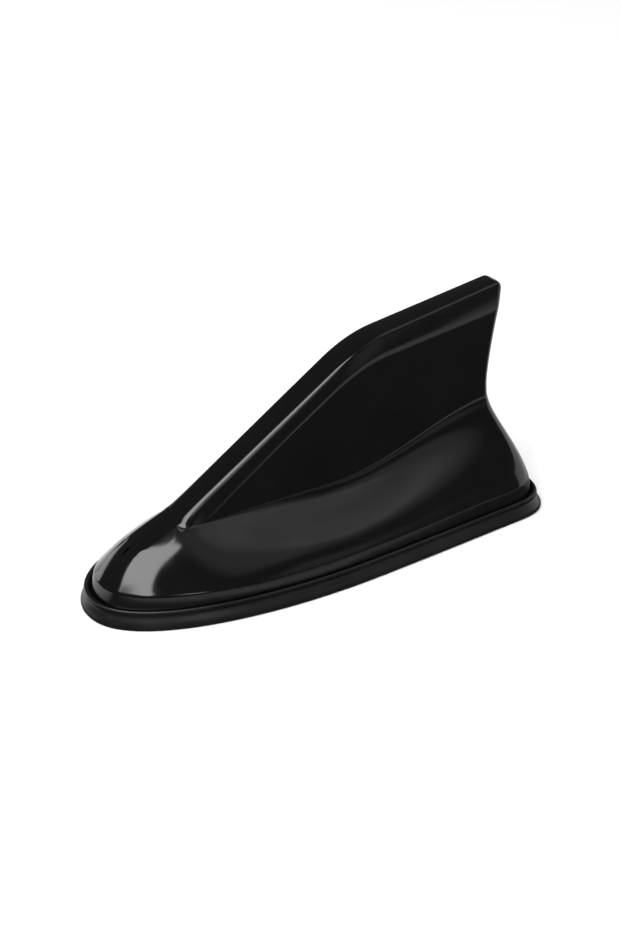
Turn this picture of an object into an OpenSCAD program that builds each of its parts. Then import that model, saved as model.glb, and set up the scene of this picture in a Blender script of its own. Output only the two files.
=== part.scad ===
// Shark fin aerial for a car roof. A moulded shell stands in a rubber seal on a base plate, and
// covers an amplified radio element and a satellite patch. The nose points to -X, the tail to +X,
// the fin is symmetric about Y = 0, and the roof plane is Z = 0.

/* [Seal] */
// Length of the seal on the roof, nose to tail
seal_l = 165; // [150:1:190]
// Width of the seal on the roof, at its widest
seal_w = 68.4; // [62:0.2:84]
// Distance from the nose of the seal to its widest point
widest_from_nose = 90; // [75:1:100]
// How much narrower each side is at the tail
tail_taper = 1.1; // [0:0.1:4]
// Length of the squared-off end at the tail
tail_corner = 25; // [15:1:30]
// Height of the rounded ridge round the shell
ridge_h = 6.6; // [5.5:0.1:9]

/* [Shell] */
// Inset of the foot of the shell from the edge of the seal, at the nose
shell_in_nose = 3.4; // [3:0.1:5]
// Inset of the foot of the shell from the edge of the seal, at the sides
shell_in_side = 3.1; // [3:0.1:5]
// Inset of the foot of the shell from the edge of the seal, at the tail
shell_in_tail = 2.6; // [2.6:0.1:5]
// How far the skirt leans in over its height, at the nose
lean_nose = 1.6; // [0.2:0.1:2.5]
// How far the skirt leans in over its height, at the sides
lean_side = 1.3; // [0.2:0.1:2.5]
// How far the skirt leans in over its height, at the tail
lean_tail = 0.4; // [0.2:0.1:2.5]
// Thickness of the moulded wall
shell_wall = 2.2; // [1.6:0.1:2.6]
// Height of the rim of the shell above the roof, in the groove of the seal
rim_z = 3.6; // [3:0.1:4.5]
// Height of the skirt at the nose, above the ridge of the seal
skirt_nose = 4.1; // [2:0.1:6]
// Height of the skirt amidships, above the ridge of the seal
skirt_mid = 3; // [1:0.1:4]
// Height of the skirt at the tail, above the ridge of the seal
skirt_tail = 3.9; // [2:0.1:6]

/* [Blade] */
// Distance from the nose of the seal to where the blade leaves the domed nose
brow_from_nose = 31; // [28:0.5:40]
// Height of the spine where the blade leaves the domed nose
brow_z = 25.2; // [24:0.1:30]
// Distance from the nose of the seal to the bend of the spine
bend_from_nose = 102; // [90:0.5:115]
// Height of the spine at its bend
bend_z = 69.2; // [60:0.2:72]
// Half the length of the round in the spine at its bend
bend_r = 9.5; // [4:0.5:16]
// Distance from the tail of the seal to the tip of the blade
tip_from_tail = 3.6; // [3:0.1:12]
// Height of the spine at the tip
tip_z = 76.1; // [72:0.1:84]
// Width of the flat spine up the leading edge
spine_w = 9.8; // [8:0.1:13]
// Width of the flat spine at the tip
spine_tip_w = 8.6; // [7:0.1:12]
// Rise of the crown across the spine
crown_h = 0.5; // [0.2:0.1:1.2]
// Height of the chamfer below the spine
chamfer_h = 6.3; // [4:0.1:8]
// Height of the chamfer below the spine at the tip
chamfer_tip_h = 8; // [5:0.1:10]
// How far the chamfer reaches out from the spine on each side
chamfer_out = 2.1; // [1:0.1:3.5]
// Slope of the side panel away from upright, in degrees
panel_draft = 4.3; // [2:0.1:6]
// Height of the crease between the side panel and the body of the fin
crease_z = 24.2; // [21:0.1:25]
// Height at which the side panel flows into the body at the tail
crease_tail_z = 39; // [34:0.5:46]
// Height of the waist in the rear edge
waist_z = 42; // [36:0.5:50]
// How far the rear edge comes forward at its waist
waist_in = 7.8; // [2:0.1:9]

/* [Base] */
// Thickness of the base plate
base_t = 3.2; // [2.6:0.1:4]
// Thickness of the seal under the base plate, and of the adhesive pad
pad_t = 1.2; // [0.8:0.1:1.8]
// Gap between the base plate and the shell round it
base_gap = 0.3; // [0.1:0.05:0.5]
// Width of the flange of the seal under the base plate
flange_w = 5; // [3:0.5:7]
// Height of the circuit board above the base plate
board_up = 3; // [2.6:0.1:4]
// Thickness of the circuit board
board_t = 1.6; // [1:0.1:2]
// Half width of the circuit board
board_half_w = 15; // [12:0.5:16]
// Distance of the circuit board from the nose of the seal
board_from_nose = 26; // [24:0.5:32]
// Distance of the circuit board from the tail of the seal
board_from_tail = 37; // [36:0.5:50]

/* [Fixings] */
// Bore of the brass bush for the roof screw
bush_bore = 5; // [4:0.5:6]
// Outer diameter of the brass bush
bush_d = 9; // [8:0.5:11]
// Bore of the grommet for the cable
cable_bore = 6; // [4:0.5:8]
// Outer diameter of the neck of the grommet
grommet_d = 10; // [9:0.5:12]
// Diameter of the shell screws
screw_d = 2.9; // [2.2:0.1:3.5]
// Diameter of the board and carrier screws
small_screw_d = 2.2; // [1.6:0.1:2.6]
// Depth of the shell screws into their bosses
screw_grip = 5; // [4:0.5:7]

/* [Aerial] */
// Diameter of the upright rod that carries the coil
rod_d = 6; // [4:0.2:6.4]
// Length of the coil up the rod
coil_h = 30; // [20:1:34]
// Turns of the coil
coil_turns = 9; // [5:1:11]
// Diameter of the coil wire
coil_wire = 1; // [0.6:0.1:1.2]
// Thickness of the moulded carrier in the blade
carrier_t = 3; // [2:0.1:3.4]
// Thickness of the stamped element plate
element_t = 0.5; // [0.3:0.1:0.8]
// Side of the square satellite patch
patch_side = 18; // [14:1:20]
// Thickness of the satellite patch
patch_t = 4; // [2:0.5:4.5]

/* [Hidden] */
$fn = 40;
nose_x = -seal_l / 2;
tail_x = seal_l / 2;
widest_x = nose_x + widest_from_nose;
brow_x = nose_x + brow_from_nose;
bend_x = nose_x + bend_from_nose;
tip_x = tail_x - tip_from_tail;
// The side panel starts to flow into the body here, its crease has died out here, and it ends here
flow_x = (nose_x + tail_x) / 2;
fade_x = bend_x + 23;
blade_tail_x = tail_x - 10;
rake = (bend_z - brow_z) / (bend_x - brow_x);
// Slope of the top of the nose where the blade leaves it, and the length of the hollow round there
dome_rise = 0.25;
brow_r = 2.5;
roof_slope = (tip_z - bend_z) / (tip_x - bend_x);
crown_slope = 4 * crown_h / spine_w;
// Powers of the outline at the nose, at the tail, and at the rear edge of the blade
nose_power = 1 / 2.2;
tail_power = 5;
corner_power = 2.4;
blade_corner = 3.5;
flow_power = 1.1;
rear_power = 1.35;
// Length over which the crease opens behind the brow, and over which it settles
brow_open = 2.2;
brow_fade = 3.5;
min_rise = 0.3;
chamfer_share = 0.85;
// Angle at the start and at the end, and pull at each, of the curve that flows from the skirt up to
// the blade: over the nose, at the brow, and from brow_reach behind it to the tail
dome_curve = [54, 15, 0.33, 0.33];
brow_curve = [48, 30, 0.25, 0.36];
tail_curve = [68, 86, 0.38, 0.27];
dome_close = 0.985;
dome_reach = 13;
brow_reach = 40;
band_ease = 6;
// Lengths over which the edges are rounded
skirt_round = 0.5;
crease_round = 0.8;
chamfer_round = 1.5;
spine_round = 1.3;
tip_round = 3.2;
tip_fall = 1.6;
// The skirt starts to lean at this height
lean_z = ridge_h - 0.8;
// How much of the wall is taken off in height on the spine, at the crease and at the skirt
slope_wall = 1.15;
crease_wall = 0.75;
skirt_wall = 0.35;
// Points of the loft: up the flare, up the panel, round each end and along the side
flare_steps = 7;
inner_steps = 4;
panel_steps = 3;
fan_n = 8;
side_n = 26;
side_power = 1.3;
// The seal: points along half of its outline, and the seat of the shell in its groove
seal_nose_n = 14;
seal_side_n = 10;
seal_tail_n = 9;
seat_gap = 0.15;
base_top = pad_t + base_t;
board_z = base_top + board_up;
board_top = board_z + board_t;
board_x0 = nose_x + board_from_nose;
board_x1 = tail_x - board_from_tail;
board_l = board_x1 - board_x0;
// Clearances: round what is pushed in, and round a screw that passes through
fit = 0.1;
screw_play = 0.5;
// How far a cutting shape passes the face that it cuts
over = 1;
// Screw heads, and how deep those of the shell screws stand above the pad
head_d = 5.6;
head_t = 1.6;
head_sink = 0.2;
small_head_d = 4.2;
small_head_t = 1.2;
// Shell bosses: one in the nose, two amidships and two at the tail
boss_r = 3.3;
boss_skin = 1;
boss_mid_y = seal_w / 2 - 11.7;
boss_tail_y = seal_w / 2 - 13.7;
boss_places = [[nose_x + 18, 0], [nose_x + 70, boss_mid_y], [nose_x + 70, -boss_mid_y],
    [tail_x - 23, boss_tail_y], [tail_x - 23, -boss_tail_y]];
// Standoffs of the board, the bush and the grommet on the base plate
standoff_d = 5.6;
board_screw_x = [board_x0 + 27, board_x0 + 45];
board_screw_y = 11.5;
carrier_x = board_x1 - 25;
bush_x = carrier_x - 26;
bush_h = base_t + board_up - 1;
bush_wall = 2;
grommet_x = tail_x - 25;
grommet_lip = 2;
earth_t = 0.4;
// The carrier stands on the board with its foot, and holds the coil and the plate
carrier_l = 30;
carrier_w = 10;
foot_t = 2.2;
foot_top = board_top + foot_t;
carrier_screw_x = [carrier_x - 11, carrier_x + 11];
coil_z = foot_top + 1.5;
coil_r = rod_d / 2 + coil_wire / 2 + fit;
blade_foot_z = coil_z + coil_h + coil_wire + 1;
blade_drop = 5;
blade_front_h = 2.5;
blade_from_rear = 8;
element_inset = 1.5;
peg_d = 2;
peg_x = [carrier_x - 4, carrier_x + 24];
peg_z = blade_foot_z + 7;
slots = 5;
slot_w = 1;
slot_pitch = 4;
slot_end = 3;
foam_l = 12;
foam_h = 3;
foam_t = 1.3;
// Parts on the board: the can over the amplifier, what stands behind it, and the patch at the nose
can_l = 14;
can_w = 18;
can_h = 4;
can_t = 0.4;
can_x = (board_screw_x[0] + board_screw_x[1]) / 2;
row_x = can_x + can_l / 2 + 7;
row_y = board_half_w - 6.8;
socket_side = 6;
socket_z = 2.7;
patch_x = board_x0 + patch_side / 2 + 1;
tape_t = 0.8;
pin_d = 1.2;

function lerp(a, b, t) = a + (b - a) * t;
function clamp(t) = max(0, min(1, t));
function ease(t) = let(c = clamp(t)) c * c * (3 - 2 * c);
function unit(v) = v / max(norm(v), 1e-6);
function bezier3(a, b, c, d, t) = let(u = 1 - t)
    u * u * u * a + 3 * u * u * t * b + 3 * u * t * t * c + t * t * t * d;

// Half width of an outline that runs from x0 to x1 and is w wide on each side
function plan_y(x, x0, x1, w) = let(
        ahead = clamp((widest_x - x) / (widest_x - x0)),
        aft = clamp((x - widest_x) / (x1 - widest_x)),
        corner = clamp((x - x1 + tail_corner) / tail_corner))
    (w * pow(1 - ahead * ahead, nose_power) - tail_taper * aft * aft)
        * pow(1 - pow(corner, tail_power), 1 / tail_power);

// Height of the flat spine over its length, with the hollow at the brow and the bend rounded off
function spine_z(x) = let(d = (x - bend_x) / bend_r, hollow = max(0, brow_x + brow_r - x))
    d < -1 ? bend_z + rake * (x - bend_x) + (rake - dome_rise) * hollow * hollow / (4 * brow_r)
    : d > 1 ? bend_z + roof_slope * (x - bend_x)
    : bend_z + (rake + roof_slope) / 2 * d * bend_r + (roof_slope - rake) / 4 * bend_r * (d * d + 1);

// Where the rear edge lies at each height: forward at the waist, back at the tip and the tail
function rear_x(z) = let(
        back_x = tail_x - shell_in_tail - lean_tail,
        waist_x = back_x - waist_in,
        low = clamp((waist_z - z) / (waist_z - ridge_h)),
        high = max(0, (z - waist_z) / (tip_z - waist_z)))
    waist_x + (back_x - waist_x) * low * low + (tip_x - waist_x) * pow(high, rear_power);

// Height of the crease above the skirt, along the fin
function skirt_z(x) = let(mid_x = (nose_x + tail_x) / 2, t = clamp(abs(x - mid_x) / (seal_l / 2)))
    ridge_h + lerp(skirt_mid, x < mid_x ? skirt_nose : skirt_tail, t * t);

// Plan position on a tail that turns from the side to the middle with a corner of length c
function tail_plan(back, c, w, power, a) = [back - c + c * pow(sin(a), 2 / power), w * pow(cos(a), 2 / power)];

// Ribs of the side stand closer together near the brow
function station(t) = pow(t, side_power);

// Plan position of a rib at the foot of the skirt (lean 0) or at its top (lean 1). Ribs fan round the
// nose (part 0), stand square along the sides (part 1) and fan round the tail (part 2). t runs from
// 0 to 1 within each part.
function skirt_plan(part, t, e, lean) = let(
        x0 = nose_x + shell_in_nose + lean * lean_nose + e,
        x1 = tail_x - shell_in_tail - lean * lean_tail - e,
        w = seal_w / 2 - shell_in_side - lean * lean_side - e,
        fan = t * acos((widest_x - brow_x) / (widest_x - x0)),
        x = lerp(brow_x, x1 - tail_corner, station(t)))
    part == 0 ? [widest_x - (widest_x - x0) * cos(fan), w * pow(sin(fan), 2 * nose_power)]
    : part == 1 ? [x, plan_y(x, x0, x1, w)]
    : tail_plan(x1, tail_corner, plan_y(x1 - tail_corner, x0, x1, w), tail_power, 90 * t);

// Half width of the flat spine
function spine_y(x, e) = lerp(spine_w, spine_tip_w, clamp((x - bend_x) / (tip_x - bend_x))) / 2 - e;

// Height of the crease at the foot of the side panel
function crease_height(x) = crease_z + (brow_z - min_rise - crease_z) * exp((brow_x - x) / brow_fade)
    + (crease_tail_z - crease_z) * pow(ease((x - flow_x) / (blade_tail_x - flow_x)), flow_power);

// The corners of a rib on the blade: foot of the panel, foot of the chamfer, edge of the spine
function blade_corners(part, t, e) = let(
        side = part == 1 ? station(t) : 1,
        a = part == 2 ? 90 * t : 0,
        c = blade_corner,
        x4 = lerp(brow_x, tip_x - e - c, side),
        p4 = tail_plan(x4 + c, c, spine_y(x4, e), corner_power, a),
        z4 = spine_z(p4[0]) - e * slope_wall,
        fall = tip_fall * pow(sin(a), 3),
        drop = lerp(chamfer_h, chamfer_tip_h, ease((x4 - bend_x) / (tip_x - bend_x))),
        rise = max(z4 - crease_height(lerp(brow_x, rear_x(crease_tail_z) - e - c, side)) + e * crease_wall,
            min_rise),
        z3 = z4 - min(drop, rise * chamfer_share),
        z2 = z4 - rise,
        x3 = lerp(brow_x, rear_x(z3) - e - c, side),
        x2 = lerp(brow_x, rear_x(z2) - e - c, side),
        y3 = spine_y(x4, e) + chamfer_out * clamp((x4 - brow_x) / brow_open),
        y2 = y3 + (z3 - z2) * tan(panel_draft),
        p3 = tail_plan(x3 + c, c, y3, corner_power, a),
        p2 = tail_plan(x2 + c, c, y2, corner_power, a))
    [[p2[0], p2[1], z2], [p3[0], p3[1], z3], [p4[0], p4[1], z4 - fall]];

// A point of the side panel between its foot and the chamfer, bowed as the rear edge is
function panel_point(k2, k3, side, u) = let(
        z = lerp(k2[2], k3[2], u),
        bow = rear_x(z) - lerp(rear_x(k2[2]), rear_x(k3[2]), u))
    [lerp(k2[0], k3[0], u) + bow * side, lerp(k2[1], k3[1], u), z];

// Three points that round the corner k between a and b over a length r each way. The inner skin,
// which nobody sees, keeps its corners sharp.
function rounded(a, k, b, r, e) = let(
        p = k + unit(a - k) * min(r, norm(a - k) * 0.45),
        q = k + unit(b - k) * min(r, norm(b - k) * 0.45))
    e > 0 ? [k] : [p, (p + 2 * k + q) / 4, q];

// A point of the flowing side from the skirt at k1 up to the blade at k2, for a curve as above
function flare_point(k1, k2, curve, u) = let(
        out = unit([k2[0] - k1[0], k2[1] - k1[1], 0]),
        far = norm(k2 - k1),
        a = k1 + far * curve[2] * (out * cos(curve[0]) + [0, 0, sin(curve[0])]),
        b = k2 - far * curve[3] * (out * cos(curve[1]) + [0, 0, sin(curve[1])]))
    bezier3(k1, a, b, k2, u);

// A point of the crown across the spine, s of the way out to its edge
function spine_row(edge, k4_z, s) = [edge[0], edge[1] * s, lerp(k4_z + crown_h, edge[2], s * s)];

// Where a rib of the side or tail turns over onto the spine, and what lies ahead of it there
function spine_ahead(part, t, e, k4) = let(x = tip_x - e - blade_corner, z = spine_z(x) - e * slope_wall)
    part == 1 ? k4 + spine_w * [0, -1, crown_slope] : spine_row([x, spine_y(x, e), z], z, 1 - t);

// The top of a side rib, from the flare's end over panel and chamfer onto the spine
function blade_points(part, t, e, before) = let(
        k = blade_corners(part, t, e),
        side = part == 1 ? station(t) : 1,
        steps = e > 0 ? 1 : panel_steps,
        panel = [for (i = [1:steps]) panel_point(k[0], k[1], side, i / (steps + 1))])
    concat(
        rounded(before, k[0], panel[0], crease_round, e), panel,
        rounded(panel[steps - 1], k[1], k[2], chamfer_round, e),
        rounded(k[1], k[2], spine_ahead(part, t, e, k[2]),
            part == 1 ? spine_round : lerp(spine_round, tip_round, sin(90 * t)), e));

// The curve of the flowing side where its foot on the blade is at x
function side_curve(x) = let(
        ahead = ease((brow_x - x) / dome_reach),
        reach = ease((x - brow_x) / brow_reach),
        fade = ease((x - brow_x) / (fade_x - brow_x)))
    [for (i = [0:3]) lerp(lerp(brow_curve[i], tail_curve[i], i == 1 ? fade : reach), dome_curve[i], ahead)];

// Height down the middle of the nose: a smooth curve from the top of the skirt up to the spine
function dome_top(x, x0, z0, z1) = let(l = brow_x - x0, t = clamp((x - x0) / l), v = 1 - t)
    v * v * (1 + 2 * t) * z0 + t * t * (3 - 2 * t) * z1
        + l * t * v * (v * tan(dome_curve[0]) - t * (rake + dome_rise) / 2);

// Height of the nose at x and y, y from its middle. A section across the nose is the flowing side up
// to the edge of the spine, and the crown over it.
function dome_z(x, y, e) = let(
        x0 = nose_x + shell_in_nose + lean_nose + e,
        w = seal_w / 2 - shell_in_side - lean_side - e,
        x1 = tail_x - shell_in_tail - lean_tail - e,
        half = plan_y(x, x0, x1, w),
        slope = (half - plan_y(x - 0.1, x0, x1, w)) / 0.1,
        curve = side_curve(x),
        low = skirt_z(x) - e * skirt_wall,
        edge = spine_y(x, e) * half / (half + band_ease) * (1 + band_ease / plan_y(brow_x, x0, x1, w)),
        crown = max(crown_h, edge * tan(curve[1]) / 2 * ease((brow_x - x) / dome_reach)),
        top = dome_top(x, x0, skirt_z(x0) - e * skirt_wall, spine_z(brow_x) + crown_h - e * slope_wall),
        steep = atan(tan(curve[0]) / sqrt(1 + slope * slope)))
    y <= edge ? top - crown * pow(y / edge, 2)
    : flare_height([x, -half, low], [x, -edge, top - crown], [steep, curve[1], curve[2], curve[3]], -y, 0, 1);

// Height of a flowing side across the fin at a given y, found by halving
function flare_height(k1, k2, curve, y, u0, u1, n = 14) = let(
        u = (u0 + u1) / 2,
        p = flare_point(k1, k2, curve, u))
    n == 0 ? p[2] : p[1] > y ? flare_height(k1, k2, curve, y, u0, u, n - 1)
    : flare_height(k1, k2, curve, y, u, u1, n - 1);

// One rib of the skin at inset e, from height z0 up to the spine
function rib(part, t, e, z0) = let(
        foot = skirt_plan(part, t, e, 0),
        crest = skirt_plan(part, t, e, 1),
        bend = [foot[0], foot[1], lean_z],
        k1 = [crest[0], crest[1], skirt_z(crest[0]) - e * skirt_wall],
        k = blade_corners(max(1, part), part == 0 ? 0 : t, e),
        steps = e > 0 ? inner_steps : flare_steps,
        count = e > 0 ? steps + 4 : steps + panel_steps + 9,
        curve = side_curve(k[0][0]),
        side = [for (i = [1:steps]) flare_point(k1, k[0], curve, i / (steps + 1))],
        brow_edge = k[2] + (e > 0 ? 0 : spine_round) * [0, -1, crown_slope],
        up = part == 0 ? [for (i = [1:count]) let(
                share = dome_share(i, count, steps, t),
                x = lerp(k1[0], brow_x, share),
                y = lerp(k1[1], brow_edge[1] * t, share))
            i == count ? spine_row(brow_edge, k[2][2], t) : [x, y, dome_z(x, y, e)]]
            : concat(side, blade_points(part, t, e, side[steps - 1])))
    concat([[foot[0], foot[1], z0]], [bend], rounded(bend, k1, up[0], skirt_round, e), up);

// Share of the way up a rib of the nose for its point i, so that its last points close up at the brow
function dome_share(i, count, steps, t) = lerp(i / count,
    i <= steps ? i / (steps + 1) * dome_close
    : lerp(dome_close, 1, (i - steps) / (count - steps)), t * t * t);

// All ribs of one half, nose to tail
function half_ribs(e, z0) = concat(
    [for (i = [0:fan_n - 1]) rib(0, i / fan_n, e, z0)],
    [for (i = [0:side_n]) rib(1, i / side_n, e, z0)],
    [for (i = [1:fan_n]) rib(2, i / fan_n, e, z0)]);

// Rows of points over the spine between the side ribs, from the edge to the middle
function spine_points(ribs, e) = [for (i = [1:side_n]) let(
        r = ribs[fan_n + i], edge = r[len(r) - 1], z4 = blade_corners(1, i / side_n, e)[2][2])
    [for (j = [1:fan_n]) spine_row(edge, z4, 1 - j / fan_n)]];

function flat(list) = [for (a = list) each a];
function mirrored(points) = [for (p = points) [p[0], -p[1], p[2]]];
function quad(a, b, c, d, flip) = flip ? [[a, c, b], [a, d, c]] : [[a, b, c], [a, c, d]];

// Closed or open skin of the fin at inset e: [points, faces, rim loop]
function skin(e, z0, flip) = let(
        ribs = half_ribs(e, z0),
        rows = spine_points(ribs, e),
        m = len(ribs[0]),
        last = len(ribs) - 1,
        half = concat(flat(ribs), flat(rows)),
        n = len(half),
        at = function(side, r, level) (r == 0 || r == last ? 0 : side * n) + r * m + level,
        on = function(side, i, j) j == 0 ? at(side, fan_n + i, m - 1)
            : i == 0 ? at(side, fan_n - j, m - 1)
            : (j == fan_n ? 0 : side * n) + (last + 1) * m + (i - 1) * fan_n + j - 1,
        faces = [for (side = [0, 1]) let(f = side == 0 ? flip : !flip) each concat(
            [for (r = [0:last - 1], level = [0:m - 2]) each
                quad(at(side, r, level), at(side, r + 1, level), at(side, r + 1, level + 1),
                    at(side, r, level + 1), f)],
            [for (i = [0:side_n - 1], j = [0:fan_n - 1]) each
                quad(on(side, i, j), on(side, i + 1, j), on(side, i + 1, j + 1), on(side, i, j + 1), f)],
            [for (j = [0:fan_n - 1]) let(r = fan_n + side_n + j) each
                j == 0 ? [f ? [on(side, side_n, 0), on(side, side_n, 1), at(side, r + 1, m - 1)]
                    : [on(side, side_n, 0), at(side, r + 1, m - 1), on(side, side_n, 1)]]
                : quad(on(side, side_n, j), at(side, r, m - 1), at(side, r + 1, m - 1),
                    on(side, side_n, j + 1), f)])],
        rim = concat([for (r = [0:last]) at(0, r, 0)], [for (r = [last - 1:-1:1]) at(1, r, 0)]))
    [concat(half, mirrored(half)), faces, rim];

// The fin as one solid down to height z0
module fin_solid(e, z0) {
    s = skin(e, z0, false);
    polyhedron(points = s[0], faces = concat(s[1], [[for (i = [len(s[2]) - 1:-1:0]) s[2][i]]]));
}

// The moulded wall: outer skin, inner skin and the flat rim that joins them
module fin_wall(z0) {
    outer = skin(0, z0, false);
    inner = skin(shell_wall, z0, true);
    n = len(outer[0]);
    count = len(outer[2]);
    polyhedron(
        points = concat(outer[0], inner[0]),
        faces = concat(outer[1], [for (f = inner[1]) [for (i = f) i + n]],
            [for (i = [0:count - 1]) let(j = (i + 1) % count) each
                quad(outer[2][i], outer[2][j], inner[2][j] + n, inner[2][i] + n, true)]));
}

// Half an outline, nose to tail, inset from the edge of the seal at nose, side and tail
function half_outline(dn, ds, dt) = let(
        x0 = nose_x + dn,
        x1 = tail_x - dt,
        w = seal_w / 2 - ds,
        xc = x1 - tail_corner)
    concat(
        [for (i = [0:seal_nose_n]) let(a = 90 * i / seal_nose_n)
            [widest_x - (widest_x - x0) * cos(a), w * pow(sin(a), 2 * nose_power)]],
        [for (i = [1:seal_side_n]) let(x = lerp(widest_x, xc, i / seal_side_n)) [x, plan_y(x, x0, x1, w)]],
        [for (i = [1:seal_tail_n])
            tail_plan(x1, tail_corner, plan_y(xc, x0, x1, w), tail_power, 90 * i / seal_tail_n)]);

// The whole outline as a closed loop
function outline(dn, ds, dt) = let(half = half_outline(dn, ds, dt), n = len(half))
    concat([for (p = half) [p[0], -p[1]]], [for (i = [n - 2:-1:1]) half[i]]);

// Outline at a distance d inside the outer face of the shell
function shell_outline(d) = outline(shell_in_nose + d, shell_in_side + d, shell_in_tail + d);

// Solid ring swept round the outline. Each point of the profile is [nose, side, tail, height]:
// its inset at the three places, and its height.
module ring(profile) {
    loops = [for (p = profile) [for (q = outline(p[0], p[1], p[2])) [q[0], q[1], p[3]]]];
    n = len(loops[0]);
    m = len(loops);
    polyhedron(
        points = flat(loops),
        faces = [for (k = [0:m - 1], i = [0:n - 1]) let(j = (i + 1) % n, l = (k + 1) % m)
            each quad(k * n + i, k * n + j, l * n + j, l * n + i, true)]);
}

// A point of the profile of the seal: inset from the outer edge, the same all round
function lip(d, z) = [d, d, d, z];

// A point of the profile of the seal: inset from the outer face of the shell
function seat(d, z) = [shell_in_nose + d, shell_in_side + d, shell_in_tail + d, z];

// Moulded shell with its screw bosses
module outer_shell() {
    color("#141416") {
        difference() {
            union() {
                fin_wall(rim_z);
                intersection() {
                    fin_solid(boss_skin, base_top);
                    for (p = boss_places)
                        translate([p[0], p[1], base_top]) cylinder(r = boss_r, h = brow_z);
                }
            }
            for (p = boss_places)
                translate([p[0], p[1], base_top - over])
                    cylinder(d = screw_d + fit, h = screw_grip + 2 * over);
        }
    }
}

// Rubber seal: a flared lip, a rounded ridge, the groove for the shell and a thin flange
module seal_gasket() {
    inner = shell_wall + base_gap - seat_gap;
    color("#1b1b1c")
        ring([
            lip(0.5, 0), lip(0.1, 0.4), lip(0, 1.2), lip(0.15, 2.2), lip(0.6, 3.3), lip(1.1, 4.2),
            lip(1.4, 4.7), lip(1.3, 5.2), lip(1.3, ridge_h - 0.8), lip(1.5, ridge_h - 0.2),
            lip(1.8, ridge_h), lip(2.1, ridge_h - 0.1), seat(-0.5, ridge_h - 0.5), seat(-0.4, rim_z),
            seat(inner, rim_z), seat(inner, pad_t), seat(inner + flange_w, pad_t), seat(inner + flange_w, 0)]);
}

// Base plate with standoffs for the board, and wells for the bush, the grommet and the screws
module base_plate() {
    well_h = pad_t + head_sink + head_t + fit;
    color("#3c3e42")
        difference() {
            union() {
                translate([0, 0, pad_t]) linear_extrude(base_t) polygon(shell_outline(shell_wall + base_gap));
                for (x = board_screw_x, side = [-1, 1])
                    translate([x, side * board_screw_y, base_top]) cylinder(d = standoff_d, h = board_up);
                for (x = carrier_screw_x)
                    translate([x, 0, base_top]) cylinder(d = standoff_d, h = board_up);
                translate([bush_x, 0, pad_t]) cylinder(d = bush_d + 2 * bush_wall, h = bush_h);
            }
            for (x = board_screw_x, side = [-1, 1])
                translate([x, side * board_screw_y, base_top - over])
                    cylinder(d = small_screw_d + fit, h = board_up + 2 * over);
            for (x = carrier_screw_x)
                translate([x, 0, base_top - over]) cylinder(d = small_screw_d + fit, h = board_up + 2 * over);
            translate([bush_x, 0, 0]) cylinder(d = bush_d + fit, h = pad_t + bush_h + over);
            translate([grommet_x, 0, 0]) cylinder(d = grommet_d + fit, h = base_top + over);
            for (p = boss_places) {
                translate([p[0], p[1], 0]) cylinder(d = screw_d + screw_play, h = base_top + over);
                translate([p[0], p[1], 0]) cylinder(d = head_d + screw_play, h = well_h);
            }
        }
}

// Three foam pads with adhesive on both faces, under the base plate, ahead of, between and behind
// the bush and the grommet
module adhesive_pad() {
    margin = 1;
    bush_gap = bush_d + 3;
    grommet_gap = grommet_d + 2 * grommet_lip + 1;
    color("#2c2c2e")
        linear_extrude(pad_t)
            difference() {
                polygon(shell_outline(shell_wall + base_gap + flange_w + margin));
                translate([bush_x - bush_gap / 2, -seal_w / 2]) square([bush_gap, seal_w]);
                translate([grommet_x - grommet_gap / 2, -seal_w / 2]) square([grommet_gap, seal_w]);
            }
}

// Pan-head screw that points up, with a cross recess
module screw(d, head, tall, length) {
    bevel = 0.5;
    difference() {
        union() {
            rotate_extrude()
                polygon([[0, 0], [head / 2 - bevel, 0], [head / 2, bevel], [head / 2, tall], [0, tall]]);
            cylinder(d = d, h = tall + length);
        }
        for (turn = [0, 90])
            rotate(turn)
                translate([-head * 0.3, -head * 0.06, -over])
                    cube([head * 0.6, head * 0.12, over + tall * 0.6]);
    }
}

// Five self-tapping screws, up through the base plate into the shell
module shell_screws() {
    z = pad_t + head_sink;
    color("silver")
        for (p = boss_places)
            translate([p[0], p[1], z]) screw(screw_d, head_d, head_t, base_top + screw_grip - z - head_t);
}

// Threaded brass bush for the roof screw
module roof_bush() {
    color("#b9974a")
        translate([bush_x, 0, pad_t])
            difference() {
                cylinder(d = bush_d, h = bush_h);
                translate([0, 0, -over]) cylinder(d = bush_bore, h = bush_h + 2 * over);
            }
}

// Rubber grommet of the cable outlet, gripping the base plate from both sides
module cable_grommet() {
    flange_d = grommet_d + 2 * grommet_lip;
    top_t = 1.4;
    color("#232324")
        translate([grommet_x, 0, 0])
            difference() {
                union() {
                    translate([0, 0, fit]) cylinder(d = flange_d, h = pad_t - fit);
                    cylinder(d = grommet_d, h = base_top + over);
                    translate([0, 0, base_top]) cylinder(d = flange_d, h = top_t);
                }
                translate([0, 0, -over]) cylinder(d = cable_bore, h = base_top + top_t + 2 * over);
            }
}

// Tinned sheet that earths the board to the base plate
module earth_plate() {
    margin = 1;
    hole_d = standoff_d + 0.6;
    color("#b8bcc0")
        translate([0, 0, base_top])
            linear_extrude(earth_t)
                difference() {
                    translate([board_x0, -board_half_w + margin])
                        square([board_l, 2 * (board_half_w - margin)]);
                    for (x = board_screw_x, side = [-1, 1])
                        translate([x, side * board_screw_y]) circle(d = hole_d);
                    for (x = carrier_screw_x) translate([x, 0]) circle(d = hole_d);
                    translate([bush_x, 0]) circle(d = bush_d + 2 * bush_wall + 1);
                }
}

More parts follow.
